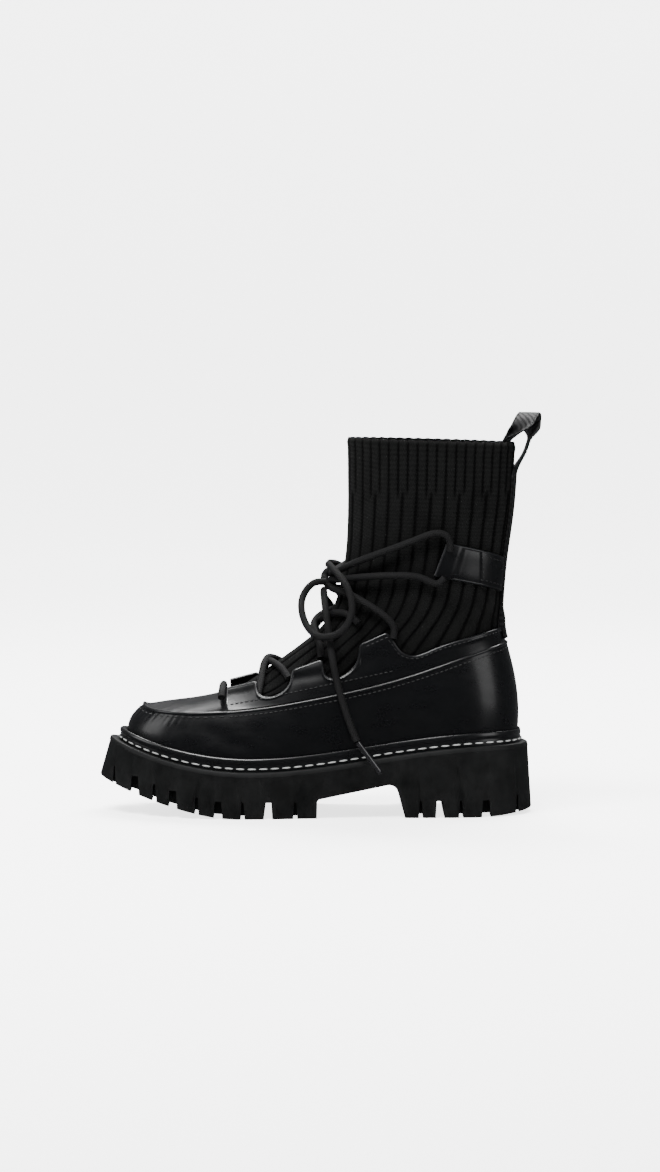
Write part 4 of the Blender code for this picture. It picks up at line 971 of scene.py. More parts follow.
@dataclass
class TabPanel:
    """The panel with three lace tabs a side and the collar edge round the heel."""

    last: Last
    finishes: Finishes
    wall: float = 0.0018
    start: float = 0.16
    scoop_depth: float = 0.0129
    tabs: tuple[tuple[float, float], ...] = ((0.740, 0.578), (0.668, 0.649), (0.574, 0.763), (0.500, 0.867),
                                             (0.401, 1.020), (0.335, 1.137))
    heel_edge: tuple[tuple[float, float], ...] = ((0.319, 1.052), (0.298, 0.944), (0.276, 0.905), (0.216, 0.967),
                                                  (0.137, 1.065), (0.000, 1.200))

    def spot(self, place: float, height: float) -> tuple[float, float]:
        """Return x and z of a place and a height above the heel seat."""
        return (self.last.heel_back - place * self.last.length, self.last.heel_stack + height * self.last.heel_rise)

    def edge(self) -> list[tuple[float, float]]:
        """Return the top edge seen from the side, from the throat to the heel."""
        corners = [self.spot(*tab) for tab in self.tabs]
        line = [self.spot(self.last.throat_place + 0.03, 0.55), corners[0]]
        for front, rear, depth in ((corners[1], corners[2], 1.0), (corners[3], corners[4], 1.2)):
            for i in range(33):
                bend = math.pi * i / 32.0
                share = (1.0 - math.cos(bend)) / 2.0
                line.append((front[0] + (rear[0] - front[0]) * share,
                             front[1] + (rear[1] - front[1]) * share
                             - self.scoop_depth * depth * math.sin(bend) ** 0.7))
        line.append(corners[5])
        tail = smooth_route([(x, 0.0, z) for x, z in [self.spot(*place) for place in self.heel_edge]], 0.0008)
        return line + [(point.x, point.z) for point in tail]

    def edge_height(self, x: float) -> float:
        """Return the top edge's height at a place."""
        for (x0, z0), (x1, z1) in zip(self.line, self.line[1:]):
            if x0 <= x <= x1 and x1 > x0:
                return z0 + (z1 - z0) * (x - x0) / (x1 - x0)
        return self.line[-1][1] if x > self.line[-1][0] else self.line[0][1]

    def row_place(self, angle: float, share: float) -> tuple[float, float, float]:
        """Return the angle, level and lift of a point up one line of the panel."""
        last = self.last
        start_x = last.form(angle, 0.0).x
        along = smooth_step((start_x - last.heel_back + 0.30 * last.length) / (0.22 * last.length))
        forward = min(1.0, max(0.0, (start_x - last.throat_x) / (0.36 * last.length)))
        level = self.start + (1.2 + 2.8 * forward - self.start) * share
        sign = 1.0 if angle >= 0.0 else -1.0
        upright = last.angle_at(start_x, level)
        return sign * (upright + (abs(angle) - upright) * along), level, self.lift(angle) * share ** 1.5

    def lift(self, angle: float) -> float:
        """Return how far the line's top is raised to reach above the tabs."""
        key = round(angle, 6)
        if key not in self.lifts:
            self.lifts[key] = 0.0
            crest = self.last.form(*self.row_place(angle, 1.0)[:2])
            share = (self.last.heel_back - crest.x) / self.last.length
            steep = self.last.heel_stack + self.last.heel_rise * (
                0.60 + 1.40 * max(0.0, self.last.throat_place - share))
            high = min(steep, self.last.heel_stack + self.last.heel_rise * 1.30) + 0.006
            self.lifts[key] = max(0.0, high - crest.z)
        return self.lifts[key]

    def point(self, angle: float, share: float, distance: float) -> Vector:
        """Return a point of the uncut panel."""
        turned, level, lift = self.row_place(angle, share)
        return self.last.out(turned, level, distance) + Vector((0.0, 0.0, lift))

    def top_share(self, angle: float) -> float:
        """Return how far up its line the panel is kept at an angle."""
        key = round(angle, 6)
        if key not in self.tops:
            low, high = 0.0, 1.0
            for _ in range(16):
                middle = (low + high) / 2.0
                spot = self.point(angle, middle, GAP + self.wall)
                if spot.z < self.edge_height(spot.x):
                    low = middle
                else:
                    high = middle
            self.tops[key] = low
        return self.tops[key]

    def angle_of(self, first: float) -> float:
        """Return the angle of a column, at a share from the outer throat round the heel to the inner one."""
        turned = abs(2.0 * first - 1.0)
        place = self.stations[min(len(self.stations) - 1, round((1.0 - turned) * (len(self.stations) - 1)))]
        return place if first <= 0.5 else -place

    def outside(self, first: float, second: float) -> Vector:
        """Return the panel's outside, swollen softly along its top edge."""
        angle = self.angle_of(first)
        full = self.top_share(angle)
        roll = 0.0005 * bump_at(second, 0.90, 0.10)
        return self.point(angle, full * second, GAP + self.wall + roll)

    def inside(self, first: float, second: float) -> Vector:
        """Return the panel's inside."""
        angle = self.angle_of(first)
        return self.point(angle, self.top_share(angle) * second, GAP)

    def build(self) -> None:
        """Build and dress the panel."""
        self.lifts: dict[float, float] = {}
        self.tops: dict[float, float] = {}
        self.line = self.edge()
        route = even_route([Vector((x, 0.0, z)) for x, z in self.line], 0.00085)
        first_angle = self.last.corner + 0.004
        low_x = self.last.form(first_angle, 0.0).x
        places = sorted({max(spot.x, low_x) for spot in route})
        rear = self.last.columns[2](0.0)
        angles = [max(first_angle, self.last.angle_at(x)) for x in places if x < rear - 0.0004]
        self.stations = angles + [math.pi]
        columns = 2 * (len(self.stations) - 1)
        wall = loft_wall(columns, 14, self.outside, self.inside, False)
        show("lace_tab_panel", wall, (self.finishes.leather, self.finishes.lining),
             ("tab_panel",))
        self.build_rim(columns)

    def build_rim(self, columns: int) -> None:
        """Build the rolled rim, coloured lighter than the leather as a painted highlight, and the stitch rows."""
        rim = bmesh.new()
        top = [(self.outside(i / columns, 1.0) + self.inside(i / columns, 1.0)) / 2.0 for i in range(columns + 1)]
        route = even_route(top, 0.0009)
        for _ in range(2):
            route = [route[0]] + [(a + b * 2.0 + c) / 4.0 for a, b, c in zip(route, route[1:], route[2:])] + [
                route[-1]]
        tube(rim, route, lambda share: 0.00115, 8)
        # Painted highlight: the rim takes the lighter copy of the leather.
        show_laid("tab_rim", rim, self.finishes.edge)
        thread = bmesh.new()
        for side in Side:
            spots, normals = [], []
            for i in range(0, columns // 2 + 1):
                first = i / columns if side is Side.OUTER else 1.0 - i / columns
                angle = self.angle_of(first)
                if abs(angle) < self.last.angle_at(0.030):
                    continue
                share = max(0.05, self.top_share(angle) - 0.045)
                spots.append(self.point(angle, share, GAP + self.wall + 0.0002))
                normals.append(normal_of(self.last.form, *self.row_place(angle, share)[:2]))
            sew(thread, spots, normals, *FINE_SEAM)
            spots, normals = [], []
            for i in range(121):
                angle = self.last.angle_at(self.last.throat_x + 0.0015 + 0.104 * i / 120.0) * side.value
                share = 0.30 + 0.06 * math.sin(math.pi * i / 120.0)
                spots.append(self.point(angle, share * 0.6, GAP + self.wall + 0.0001))
                normals.append(normal_of(self.last.form, *self.row_place(angle, share * 0.6)[:2]))
            sew(thread, spots, normals, *FINE_SEAM)
        show_laid("tab_stitches", thread, self.finishes.dark_thread)


# ---------------------------------------------------------------------------------------- the knit shaft


@dataclass
class KnitShaft:
    """The ribbed knit shaft: narrow ribs in the cuff, wide ones below, with a turned rim."""

    last: Last
    finishes: Finishes
    wall: float = 0.0022
    narrow: float = 0.0061
    wide: float = 0.0091
    rib_depth: float = 0.00095
    cuff_foot: float = 0.2060
    tuck: float = 0.0080
    stitch_width: float = 0.0016
    stitch_height: float = 0.0017
    half_columns: int = 236
    rows: int = 100
    # soft folds: angle round, height, reach round, reach up, depth
    folds: tuple[tuple[float, float, float, float, float], ...] = (
        (0.55, 0.118, 0.60, 0.0060, 0.0009), (0.85, 0.136, 0.55, 0.0070, 0.0008),
        (2.55, 0.128, 0.50, 0.0075, 0.0009), (2.30, 0.188, 0.60, 0.0080, 0.0005),
        (1.30, 0.205, 0.80, 0.0060, 0.0004))

    def measure(self) -> None:
        """Measure the collar's outline, so that the ribs keep one pitch."""
        self.arcs = [0.0]
        spots = [self.last.form(math.pi * i / 240.0, self.last.top) for i in range(241)]
        for a, b in zip(spots, spots[1:]):
            self.arcs.append(self.arcs[-1] + (b - a).length)
        half = self.arcs[-1]
        self.narrow_count = round(half / self.narrow)
        self.wide_count = round(half / self.wide)

    def arc(self, angle: float) -> float:
        """Return the distance round the collar from its front, as a share of the half round."""
        place = min(abs(angle) / math.pi, 1.0) * 240.0
        low = min(int(place), 239)
        return (self.arcs[low] + (self.arcs[low + 1] - self.arcs[low]) * (place - low)) / self.arcs[-1]

    def rib(self, angle: float, z: float) -> float:
        """Return the depth of the groove between ribs at a place, from 0 on a rib to 1."""
        share = self.arc(angle)
        edge = self.cuff_foot + 0.0012 * math.sin(share * math.pi * self.wide_count * 2.0)
        mix = smooth_step((z - edge + 0.0030) / 0.0060)
        depths = []
        for count in (self.wide_count, self.narrow_count):
            off = abs(share * count - round(share * count))
            depths.append(0.85 * math.exp(-(off / 0.105) ** 2) + 0.15 * (1.0 - math.sin(math.pi * min(off, 0.5))))
        return depths[0] * (1.0 - mix) + depths[1] * mix * 0.9

    def place(self, first: float, second: float) -> tuple[float, float]:
        """Return the angle and level at two shares."""
        angle = self.angles[round(first * (len(self.angles) - 1))]
        key = round(angle, 6)
        if key not in self.starts:
            self.starts[key] = max(self.last.level_at(angle, self.last.throat_x - self.tuck), 0.06)
        start = self.starts[key]
        return angle, start + (self.last.top - start) * second

    def groove(self, first: float, second: float) -> float:
        """Return how deep in a groove a point lies."""
        angle, level = self.place(first, second)
        return self.rib(angle, self.last.form(angle, level).z)

    def surface(self, first: float, second: float, distance: float, share: float) -> Vector:
        """Return a point of the shaft, with ribs and folds."""
        angle, level = self.place(first, second)
        room = 0.0006 * (1.0 - smooth_step(level / 4.0))
        point = self.last.form(angle, level)
        fold = 0.0
        for around, height, wide, tall, depth in self.folds:
            fold += depth * bump_at(abs(angle), around, wide) * bump_at(
                point.z + 0.004 * math.sin(angle * 3.0), height, tall)
        dip = self.rib_depth * self.rib(angle, point.z)
        roll = 0.0006 * bump_at(second, 0.994, 0.010)
        if second > 0.9999:
            flat = normal_of(self.last.form, angle, level - 0.05)
            flat.z = 0.0
            wave = 0.00022 * math.sin(self.arc(angle) * math.pi * self.narrow_count * 2.0)
            return point + flat.normalized() * (distance - share * (dip + 0.0003)) + Vector((0.0, 0.0, wave))
        return self.last.out(angle, level, distance - room + 0.00012 - share * (dip + fold - roll))

    def build(self) -> None:
        """Build and dress the shaft."""
        self.measure()
        self.starts: dict[float, float] = {}
        half = self.even_angles(self.half_columns)
        self.angles = [-angle for angle in reversed(half[1:])] + half
        length = self.arcs[-1] / self.stitch_width

        def tag(first: float, second: float) -> tuple[float, float]:
            """Return the place in stitches."""
            angle = self.angles[round(first * (len(self.angles) - 1))]
            sign = 1.0 if angle >= 0.0 else -1.0
            return (sign * self.arc(angle) * round(length), second * 0.190 / self.stitch_height)

        wall = loft_wall(len(self.angles) - 1, self.rows,
                         lambda first, second: self.surface(first, second, 0.0, 1.0),
                         lambda first, second: self.surface(first, second, -self.wall, 0.35), True, tag,
                         lambda first, second: self.groove(first, second))
        show("knit_shaft", wall, (self.finishes.knit, self.finishes.knit), ("sock_shaft",),
             sharp=180.0)

    def even_angles(self, count: int) -> list[float]:
        """Return angles that are evenly spaced round the collar, from the front to the rear."""
        angles = []
        hand = 0
        for i in range(count + 1):
            target = self.arcs[-1] * i / count
            while hand < 239 and self.arcs[hand + 1] < target:
                hand += 1
            share = (target - self.arcs[hand]) / (self.arcs[hand + 1] - self.arcs[hand])
            angles.append(math.pi * (hand + min(share, 1.0)) / 240.0)
        angles[-1] = math.pi
        return angles


# ---------------------------------------------------------------------------------------- strip and straps


@dataclass
class BackStrip:
    """The woven strip up the back, which turns over into the pull loop."""

    last: Last
    finishes: Finishes
    width: float = 0.0150
    wall: float = 0.0019
    path: tuple[tuple[float, float], ...] = (
        (0.0035, -0.0130), (0.0066, -0.0050), (0.0092, 0.0024), (0.0112, 0.0064), (0.0134, 0.0112),
        (0.0135, 0.0140), (0.0122, 0.0152), (0.0100, 0.0146), (0.0062, 0.0124), (0.0034, 0.0096),
        (0.0015, 0.0058), (-0.0006, 0.0020), (-0.0036, -0.0008), (-0.0056, -0.0044), (-0.0062, -0.0110),
        (-0.0066, -0.0160))
    steps: int = 130
    climb: float = 0.56
    twist: float = 1.12
    twist_from: float = 0.2395
    pivot_x: float = 0.1330

    def prepare(self) -> None:
        """Lay the loop's middle line."""
        last = self.last
        self.foot = last.heel_stack + last.heel_rise * 1.045
        self.leave = last.heel_stack + last.boot_rise * 0.880
        spots = [(last.heel_back + x, 0.0, last.heel_stack + last.boot_rise + z) for x, z in self.path]
        start = last.rear_point(0.0, self.leave, GAP + self.wall / 2.0)
        below = last.rear_point(0.0, self.leave - 0.004, GAP + self.wall / 2.0)
        self.loop = smooth_route([tuple(below), tuple(start)] + spots, 0.0004)
        while self.loop[0].z < start.z - 0.0002 and len(self.loop) > 40:
            self.loop.pop(0)

    def surface(self, first: float, second: float, depth: float) -> Vector:
        """Return a point of the strip.

        Args:
            first: The share across.
            second: The share along, climbing the shaft first and then round the loop.
            depth: 0 on its inner face, 1 on its outer face.

        Returns:
            The point.
        """
        y = (first - 0.5) * self.width
        trim = self.wall * (depth - 0.5) * (1.0 - 0.35 * abs(2.0 * first - 1.0) ** 6)
        if second <= self.climb:
            z = self.foot + (self.leave - self.foot) * second / self.climb
            over = GAP + 0.0018
            start, span = (0.0124, 0.010) if depth > 0.5 else (0.0076, 0.0012)
            clear = GAP + over * (1.0 - smooth_step((z - self.foot - start) / span))
            return self.last.rear_point(y if abs(y) > 1e-6 else -1e-6, z, clear + self.wall / 2.0 + trim)
        place = (second - self.climb) / (1.0 - self.climb) * (len(self.loop) - 1)
        low = min(int(place), len(self.loop) - 2)
        spot = self.loop[low].lerp(self.loop[low + 1], place - low)
        along = (self.loop[min(low + 2, len(self.loop) - 1)] - self.loop[max(low - 1, 0)]).normalized()
        outward = Vector((along.z, 0.0, -along.x))
        done = place / (len(self.loop) - 1)
        across = abs(2.0 * first - 1.0)
        hug = 0.0036 * smooth_step((done - 0.60) / 0.14) * across ** 2
        edge_x, middle_x = (self.last.rear_point(side, self.leave, GAP).x for side in (self.width * 0.5, -1e-6))
        seat = edge_x - middle_x
        bow = seat * (1.0 - smooth_step(done / 0.22)) * across ** 2
        point = spot + outward * trim + Vector((bow - hug, y, 0.0))
        pivot = Vector((self.pivot_x, 0.0, point.z))
        twist = self.twist * smooth_step((point.z - self.twist_from) / 0.012)
        return pivot + Matrix.Rotation(twist, 3, "Z") @ (point - pivot)

    def build(self) -> None:
        """Build and dress the strip."""
        self.prepare()

        def tag(first: float, second: float) -> tuple[float, float]:
            """Return the place in millimetres."""
            return first * 15.0, second * 190.0

        wall = loft_wall(10, self.steps, lambda first, second: self.surface(first, second, 1.0),
                         lambda first, second: self.surface(first, second, 0.0), False, tag)
        # Painted highlight: the inner face takes the lighter copy of the strip's satin.
        show("back_strip_woven", wall, (self.finishes.strip, self.finishes.pale), ("back_strip",))
        edges = bmesh.new()
        for first in (0.07, 0.93):
            line = [self.surface(first, i / 160.0, 1.0) for i in range(161)]
            normals = [normal_of(lambda a, b: self.surface(a, b, 1.0), first, i / 160.0) for i in range(161)]
            sew(edges, line, normals, *STRIP_SEAM)
        show_laid("strip_stitches", edges, self.finishes.dark_thread)


@dataclass
class AnkleStraps:
    """The straps from the back strip forward round the ankle to their lace tunnels."""

    last: Last
    finishes: Finishes
    width: float = 0.0200
    wall: float = 0.0022
    rear_angle: float = 0.275
    overlap: float = 0.50

    def surface(self, side: Side, first: float, second: float, distance: float, whole: bool) -> Vector:
        """Return a point of a strap.

        Args:
            side: The side of the foot.
            first: The share along it from the front.
            second: The share up it.
            distance: How far outside the shaft.
            whole: Whether the tunnel's rise is added.

        Returns:
            The point.
        """
        front = turn_of(0.600)
        rear = math.pi - self.rear_angle
        tunnel = 0.0016 * smooth_step((0.26 - first) / 0.12) if whole else 0.0
        middle = self.last.heel_stack + self.last.boot_rise * (0.604 - 0.052 * first)
        across = second - 0.5
        angle = side.value * (front + (rear - front) * first + 0.10 * across * (1.0 - first))
        return self.last.shaft_point(angle, middle + across * self.width, distance + tunnel)

    def build(self) -> None:
        """Build and dress both straps."""
        leather = self.finishes.leather
        for side in Side:
            label = side.name.lower()

            def outer(first: float, second: float) -> Vector:
                """Return a point of the strap's outside, doubled behind the overlap."""
                crown = 0.0005 * (1.0 - abs(2.0 * second - 1.0) ** 4)
                step = 0.0007 * smooth_step((first - self.overlap - 0.10 * (0.5 - second)) / 0.012)
                return self.surface(side, first, second, GAP + self.wall - 0.0012 + crown + step, True)

            wall = loft_wall(60, 14, outer,
                             lambda first, second: self.surface(side, first, second, GAP, False), False)
            show("ankle_strap_" + label + "_leather", wall, (leather, self.finishes.lining),
                 ("ankle_strap_" + label,))
            seams = bmesh.new()
            for up in (0.13, 0.87):
                line = [outer(self.overlap + 0.03 + 0.45 * i / 50.0, up) for i in range(51)]
                normals = [normal_of(self.last.form, side.value * 2.2, 6.8)] * 51
                sew(seams, line, normals, *STRAP_SEAM)
            line = [outer(self.overlap + 0.10 * (0.5 - i / 20.0) + 0.035, 0.13 + 0.74 * i / 20.0)
                    for i in range(21)]
            sew(seams, line, [normal_of(self.last.form, side.value * 1.9, 6.8)] * 21, *STRAP_SEAM)
            show_laid("strap_stitches_" + label, seams, self.finishes.dark_thread)
            rim = bmesh.new()
            upper_rim, lower_rim = ([(i / 60.0, up) for i in range(61)] for up in (1.0, 0.0))
            front_rim = [(0.0, i / 14.0) for i in range(15)]
            for shares, radius, sides in ((upper_rim, 0.0010, 8), (lower_rim, 0.0010, 8), (front_rim, 0.0015, 10)):
                line = [(outer(*pair) + self.surface(side, *pair, GAP, False)) / 2.0 for pair in shares]
                tube(rim, line, lambda share: radius, sides)
            # Painted highlight: the strap rims take the lighter copy of the leather.
            show_laid("strap_rims_" + label, rim, self.finishes.edge)


# ---------------------------------------------------------------------------------------- welt, sole, insole


@dataclass
class Bottom:
    """The stitched welt with its glossy bead, the outsole and the insole."""

    last: Last
    finishes: Finishes
    band: float = 0.0042
    bead: float = 0.0040
    # share of the width, share of the band's height, share of the bead's height
    section: Points = (
        (1.00, 0.00, 0.00), (0.99, 0.30, 0.00), (0.97, 0.55, 0.00), (0.93, 0.82, 0.00), (0.86, 1.00, 0.00),
        (0.93, 1.00, 0.08), (0.99, 1.00, 0.24), (1.00, 1.00, 0.42), (0.96, 1.00, 0.60), (0.88, 1.00, 0.76),
        (0.75, 1.00, 0.90), (0.57, 1.00, 0.99), (0.38, 1.00, 0.99), (0.20, 1.00, 0.90), (0.06, 1.00, 0.72),
        (0.00, 1.00, 0.50), (0.00, 0.50, 0.00), (0.00, 0.00, 0.00))
    edge_round: float = 0.00035
    stitch_pitch: float = 0.0073
    stitch_length: float = 0.0056
    stitch_thick: float = 0.0011

    def welt_point(self, angle: float, out_share: float, rise: float) -> Vector:
        """Return a point of the welt's section."""
        last = self.last
        foot = last.feather(angle)
        span = last.seam(angle).z - last.sole_top(foot.x)
        inner = last.side_out(angle, rise / span, GAP)
        outer = last.outline(angle, 0.0050, 0.0031, 0.0030)
        point = inner + (outer - inner) * out_share
        point.z = last.sole_top(point.x) + rise if out_share > 0.0 else inner.z
        return point

    def build(self) -> None:
        """Build and dress the welt, and dress the sole and the insole."""
        welt = bmesh.new()
        count = len(self.section)

        def place(first: float, second: float) -> Vector:
            """Return a point of the welt."""
            out_share, band, bead = self.section[round(second * count) % count]
            return self.welt_point(math.pi * (2.0 * first - 1.0), out_share,
                                   GAP + band * self.band + bead * self.bead)

        lay_grid(welt, 300, count, place)
        show("welt_bead", welt, (self.finishes.welt,), ("welt",), weld=0.000005, sharp=75.0)
        thread = bmesh.new()
        spots, normals = [], []
        for i in range(401):
            angle = math.pi * (2.0 * i / 400.0 - 1.0)
            spots.append(self.welt_point(angle, 1.0, GAP + self.band * 0.42))
            normals.append(self.last.facing(angle))
        sew(thread, spots, normals, self.stitch_pitch, self.stitch_length, self.stitch_thick, 0.15)
        show_laid("welt_stitches", thread, self.finishes.thread)
        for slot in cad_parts["insole"].material_slots:
            slot.material = self.finishes.lining
        self.build_sole()

    def build_sole(self) -> None:
        """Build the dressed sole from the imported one: joined faces, then softly rounded edges."""
        sole = bmesh.new()
        sole.from_mesh(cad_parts["outsole"].data)
        bmesh.ops.remove_doubles(sole, verts=sole.verts, dist=0.000004)
        bmesh.ops.dissolve_limit(sole, angle_limit=math.radians(0.6), verts=sole.verts, edges=sole.edges)
        corners = [edge for edge in sole.edges if len(edge.link_faces) == 2
                   and edge.calc_face_angle(0.0) > math.radians(40.0) and edge.calc_length() > 0.0015]
        bmesh.ops.bevel(sole, geom=corners, offset=self.edge_round, offset_type="OFFSET", segments=2,
                        profile=0.5, affect="EDGES", clamp_overlap=True, material=-1)
        bmesh.ops.translate(sole, verts=sole.verts, vec=-SHIFT)
        show("lug_sole", sole, (self.finishes.rubber,), ("outsole",), weld=0.0, outward=False,
             sharp=32.0)


# ---------------------------------------------------------------------------------------- the lace


@dataclass
class Lace:
    """A round braided lace: bar, crossings, runs to the knot, the bow and its ends."""

    last: Last
    finishes: Finishes
    thick: float = 0.0045
    tip: float = 0.0034
    bar_x: float = -0.0622
    bar: tuple[tuple[float, float], ...] = ((-0.0330, 0.0765), (-0.0300, 0.0785), (-0.0200, 0.0800), (0.0, 0.0812),
                                            (0.0200, 0.0800), (0.0300, 0.0785), (0.0330, 0.0765))
    crossings: tuple[tuple[str, float, float, float, float, float], ...] = (
        ("lace_crossing_low", 0.655, 0.630, 0.585, 0.0270, 0.0250),
        ("lace_crossing_high", 0.497, 0.500, 0.413, 0.0240, 0.0225))
    knot: tuple[float, float, float] = (0.0070, 0.0, 0.1520)
    runs: tuple[tuple[str, Points], ...] = (
        ("tab_run", ((0.0475, 0.0345, 0.1145), (0.0480, 0.0345, 0.1200), (0.0410, 0.0345, 0.1295),
                     (0.0310, 0.0305, 0.1360), (0.0225, 0.0245, 0.1405), (0.0150, 0.0155, 0.1430),
                     (0.0090, 0.0085, 0.1445), (0.0050, 0.0030, 0.1470))),
        ("upper_run", ((0.0080, 0.0040, 0.1540), (0.0120, 0.0105, 0.1560), (0.0200, 0.0195, 0.1605),
                       (0.0360, 0.0285, 0.1675), (0.0520, 0.0315, 0.1735), (0.0660, 0.0325, 0.1790),
                       (0.0750, 0.0325, 0.1815), (0.0810, 0.0320, 0.1800), (0.0836, 0.0315, 0.1750),
                       (0.0838, 0.0310, 0.1700))),
        ("lower_run", ((0.0080, 0.0045, 0.1500), (0.0120, 0.0115, 0.1505), (0.0200, 0.0210, 0.1520),
                       (0.0360, 0.0300, 0.1540), (0.0520, 0.0330, 0.1545), (0.0680, 0.0340, 0.1520),
                       (0.0760, 0.0340, 0.1495), (0.0800, 0.0330, 0.1530))))
    outer_loop: Points = (
        (0.0040, -0.0090, 0.1490), (-0.0030, -0.0120, 0.1485), (-0.0090, -0.0140, 0.1425),
        (-0.0112, -0.0215, 0.1330), (-0.0064, -0.0320, 0.1205), (0.0010, -0.0395, 0.1160),
        (0.0135, -0.0420, 0.1190), (0.0210, -0.0410, 0.1320), (0.0195, -0.0360, 0.1440),
        (0.0125, -0.0230, 0.1545), (0.0060, -0.0090, 0.1605))
    inner_loop: Points = (
        (0.0040, 0.0090, 0.1500), (0.0045, 0.0190, 0.1480), (0.0100, 0.0300, 0.1430), (0.0160, 0.0370, 0.1330),
        (0.0200, 0.0400, 0.1220), (0.0280, 0.0410, 0.1150), (0.0370, 0.0415, 0.1170), (0.0400, 0.0405, 0.1260),
        (0.0340, 0.0400, 0.1370), (0.0240, 0.0380, 0.1480), (0.0140, 0.0280, 0.1570), (0.0070, 0.0110, 0.1600))
    outer_end: Points = (
        (0.0032, -0.0080, 0.1425), (0.0035, -0.0180, 0.1375), (0.0050, -0.0285, 0.1270), (0.0068, -0.0345, 0.1140),
        (0.0090, -0.0412, 0.1000), (0.0115, -0.0420, 0.0880), (0.0145, -0.0435, 0.0770), (0.0180, -0.0450, 0.0660),
        (0.0215, -0.0468, 0.0565), (0.0243, -0.0485, 0.0500))
    outer_tip: Points = (
        (0.0247, -0.0488, 0.0492), (0.0320, -0.0500, 0.0395), (0.0394, -0.0508, 0.0296))
    inner_end: Points = (
        (0.0032, 0.0080, 0.1425), (0.0035, 0.0185, 0.1375), (0.0090, 0.0290, 0.1290), (0.0130, 0.0360, 0.1170),
        (0.0170, 0.0400, 0.1030), (0.0200, 0.0425, 0.0900), (0.0240, 0.0440, 0.0780), (0.0280, 0.0450, 0.0680),
        (0.0315, 0.0460, 0.0600))
    inner_tip: Points = (
        (0.0318, 0.0461, 0.0592), (0.0370, 0.0470, 0.0480), (0.0420, 0.0480, 0.0370))

    def over_foot(self, x: float, y: float, clear: float) -> Vector:
        """Return a lace point over the instep, clear of the sock."""
        last = self.last
        level = halve(0.0, last.top, 30, lambda height: last.columns[0](height) < x
                      and abs(last.form(last.angle_at(x, height), height).y) > abs(y))
        return last.out(last.angle_at(x, level) * (1.0 if y < 0.0 else -1.0), level, self.thick / 2.0 + clear)

    def cord(self, name: str, points: Route,
             replaces: Sequence[str] = ()) -> tuple[bpy.types.Object, list[Vector]]:
        """Build one stretch of lace.

        Args:
            name: The piece's name.
            points: Its route's own points.
            replaces: The CAD nodes that it stands for.

        Returns:
            The piece and the route it follows.
        """
        route = smooth_route(points, 0.0011)
        mesh_data = bmesh.new()
        tube(mesh_data, route, lambda share: self.thick / 2.0, 16)
        piece = show_laid(name, mesh_data, self.finishes.cord, replaces)
        return piece, [point + SHIFT for point in route]

    def build(self) -> None:
        """Build and dress the whole lace."""
        self.cord("bar_cord", [(self.bar_x, y, z) for y, z in self.bar], replaces=("lace_bar",))
        for name, front, middle, rear, front_y, rear_y in self.crossings:
            along = Spline((0.0, 0.5, 1.0), [self.last.heel_back - place * self.last.length
                                             for place in (front, middle, rear)])
            for run, hump, label in ((1.0, 0.0, "_under"), (-1.0, 0.5, "_over")):
                points = []
                for i in range(9):
                    share = -0.07 + 1.14 * i / 8.0
                    y = run * (front_y - (rear_y + front_y) * share)
                    lift = 0.0008 + self.thick * hump * math.sin(math.pi * min(max(share, 0.0), 1.0)) ** 2
                    points.append(self.over_foot(along(share), y, lift))
                self.cord(name + label, points, replaces=(name,) if run > 0.0 else ())
        for side in Side:
            label = side.name.lower()
            for name, route in self.runs:
                points = [(x, -side.value * y, z) for x, y, z in route]
                self.cord(name + "_cord_" + label, points, replaces=("lace_" + name + "_" + label,))
        knot = self.build_knot()
        for label, route in (("outer", self.outer_loop), ("inner", self.inner_loop)):
            piece, path = self.cord("loop_cord_" + label, route, replaces=("lace_loop_" + label,))
            tuple(path[0])
            length_of(path)
            [tuple(point) for point in path]
        for label, route, tip in (("outer", self.outer_end, self.outer_tip), ("inner", self.inner_end,
                                                                              self.inner_tip)):
            piece, path = self.cord("end_cord_" + label, route, replaces=("lace_end_" + label,))
            aglet = self.build_tip(label, tip)
            tuple(path[0])
            length_of(path)
            [tuple(point) for point in path]

    def build_knot(self) -> bpy.types.Object:
        """Build the bow's knot: two wraps of cord.

        Returns:
            The piece.
        """
        mesh_data = bmesh.new()
        centre = Vector(self.knot)
        for tilt, lean, reach in ((0.35, 0.15, 0.0038), (-0.45, -0.30, 0.0034)):
            ring = []
            for i in range(33):
                bend = 2.0 * math.pi * i / 32.0
                spot = Vector((math.cos(bend) * reach, lean * 0.004 * math.sin(bend * 2.0),
                               math.sin(bend) * (reach + 0.0006)))
                spot.rotate(Matrix.Rotation(tilt, 3, "X"))
                spot.rotate(Matrix.Rotation(tilt * 0.8, 3, "Z"))
                ring.append(centre + spot + Vector((0.0, 0.0022 * (1.0 if tilt > 0.0 else -1.0), 0.0)))
            tube(mesh_data, ring, lambda share: self.thick / 2.0, 14)
        return show_laid("bow_knot", mesh_data, self.finishes.cord, ("lace_knot",))

    def build_tip(self, label: str, points: Route) -> bpy.types.Object:
        """Build an aglet: a hard tip with a rolled mouth.

        Args:
            label: The side's name.
            points: Its route.

        Returns:
            The piece.
        """
        mesh_data = bmesh.new()
        route = smooth_route(points, 0.0006)
        tube(mesh_data, route, lambda share: self.tip / 2.0 * (
            1.06 - 0.06 * smooth_step(share / 0.08) - 0.35 * smooth_step((share - 0.93) / 0.07)), 16)
        return show_laid("tip_" + label, mesh_data, self.finishes.tip, ("aglet_" + label,))


def length_of(route: Sequence[Vector]) -> float:
    """Return the length of a route."""
    return sum((b - a).length for a, b in zip(route, route[1:]))


# ---------------------------------------------------------------------------------------- the studio


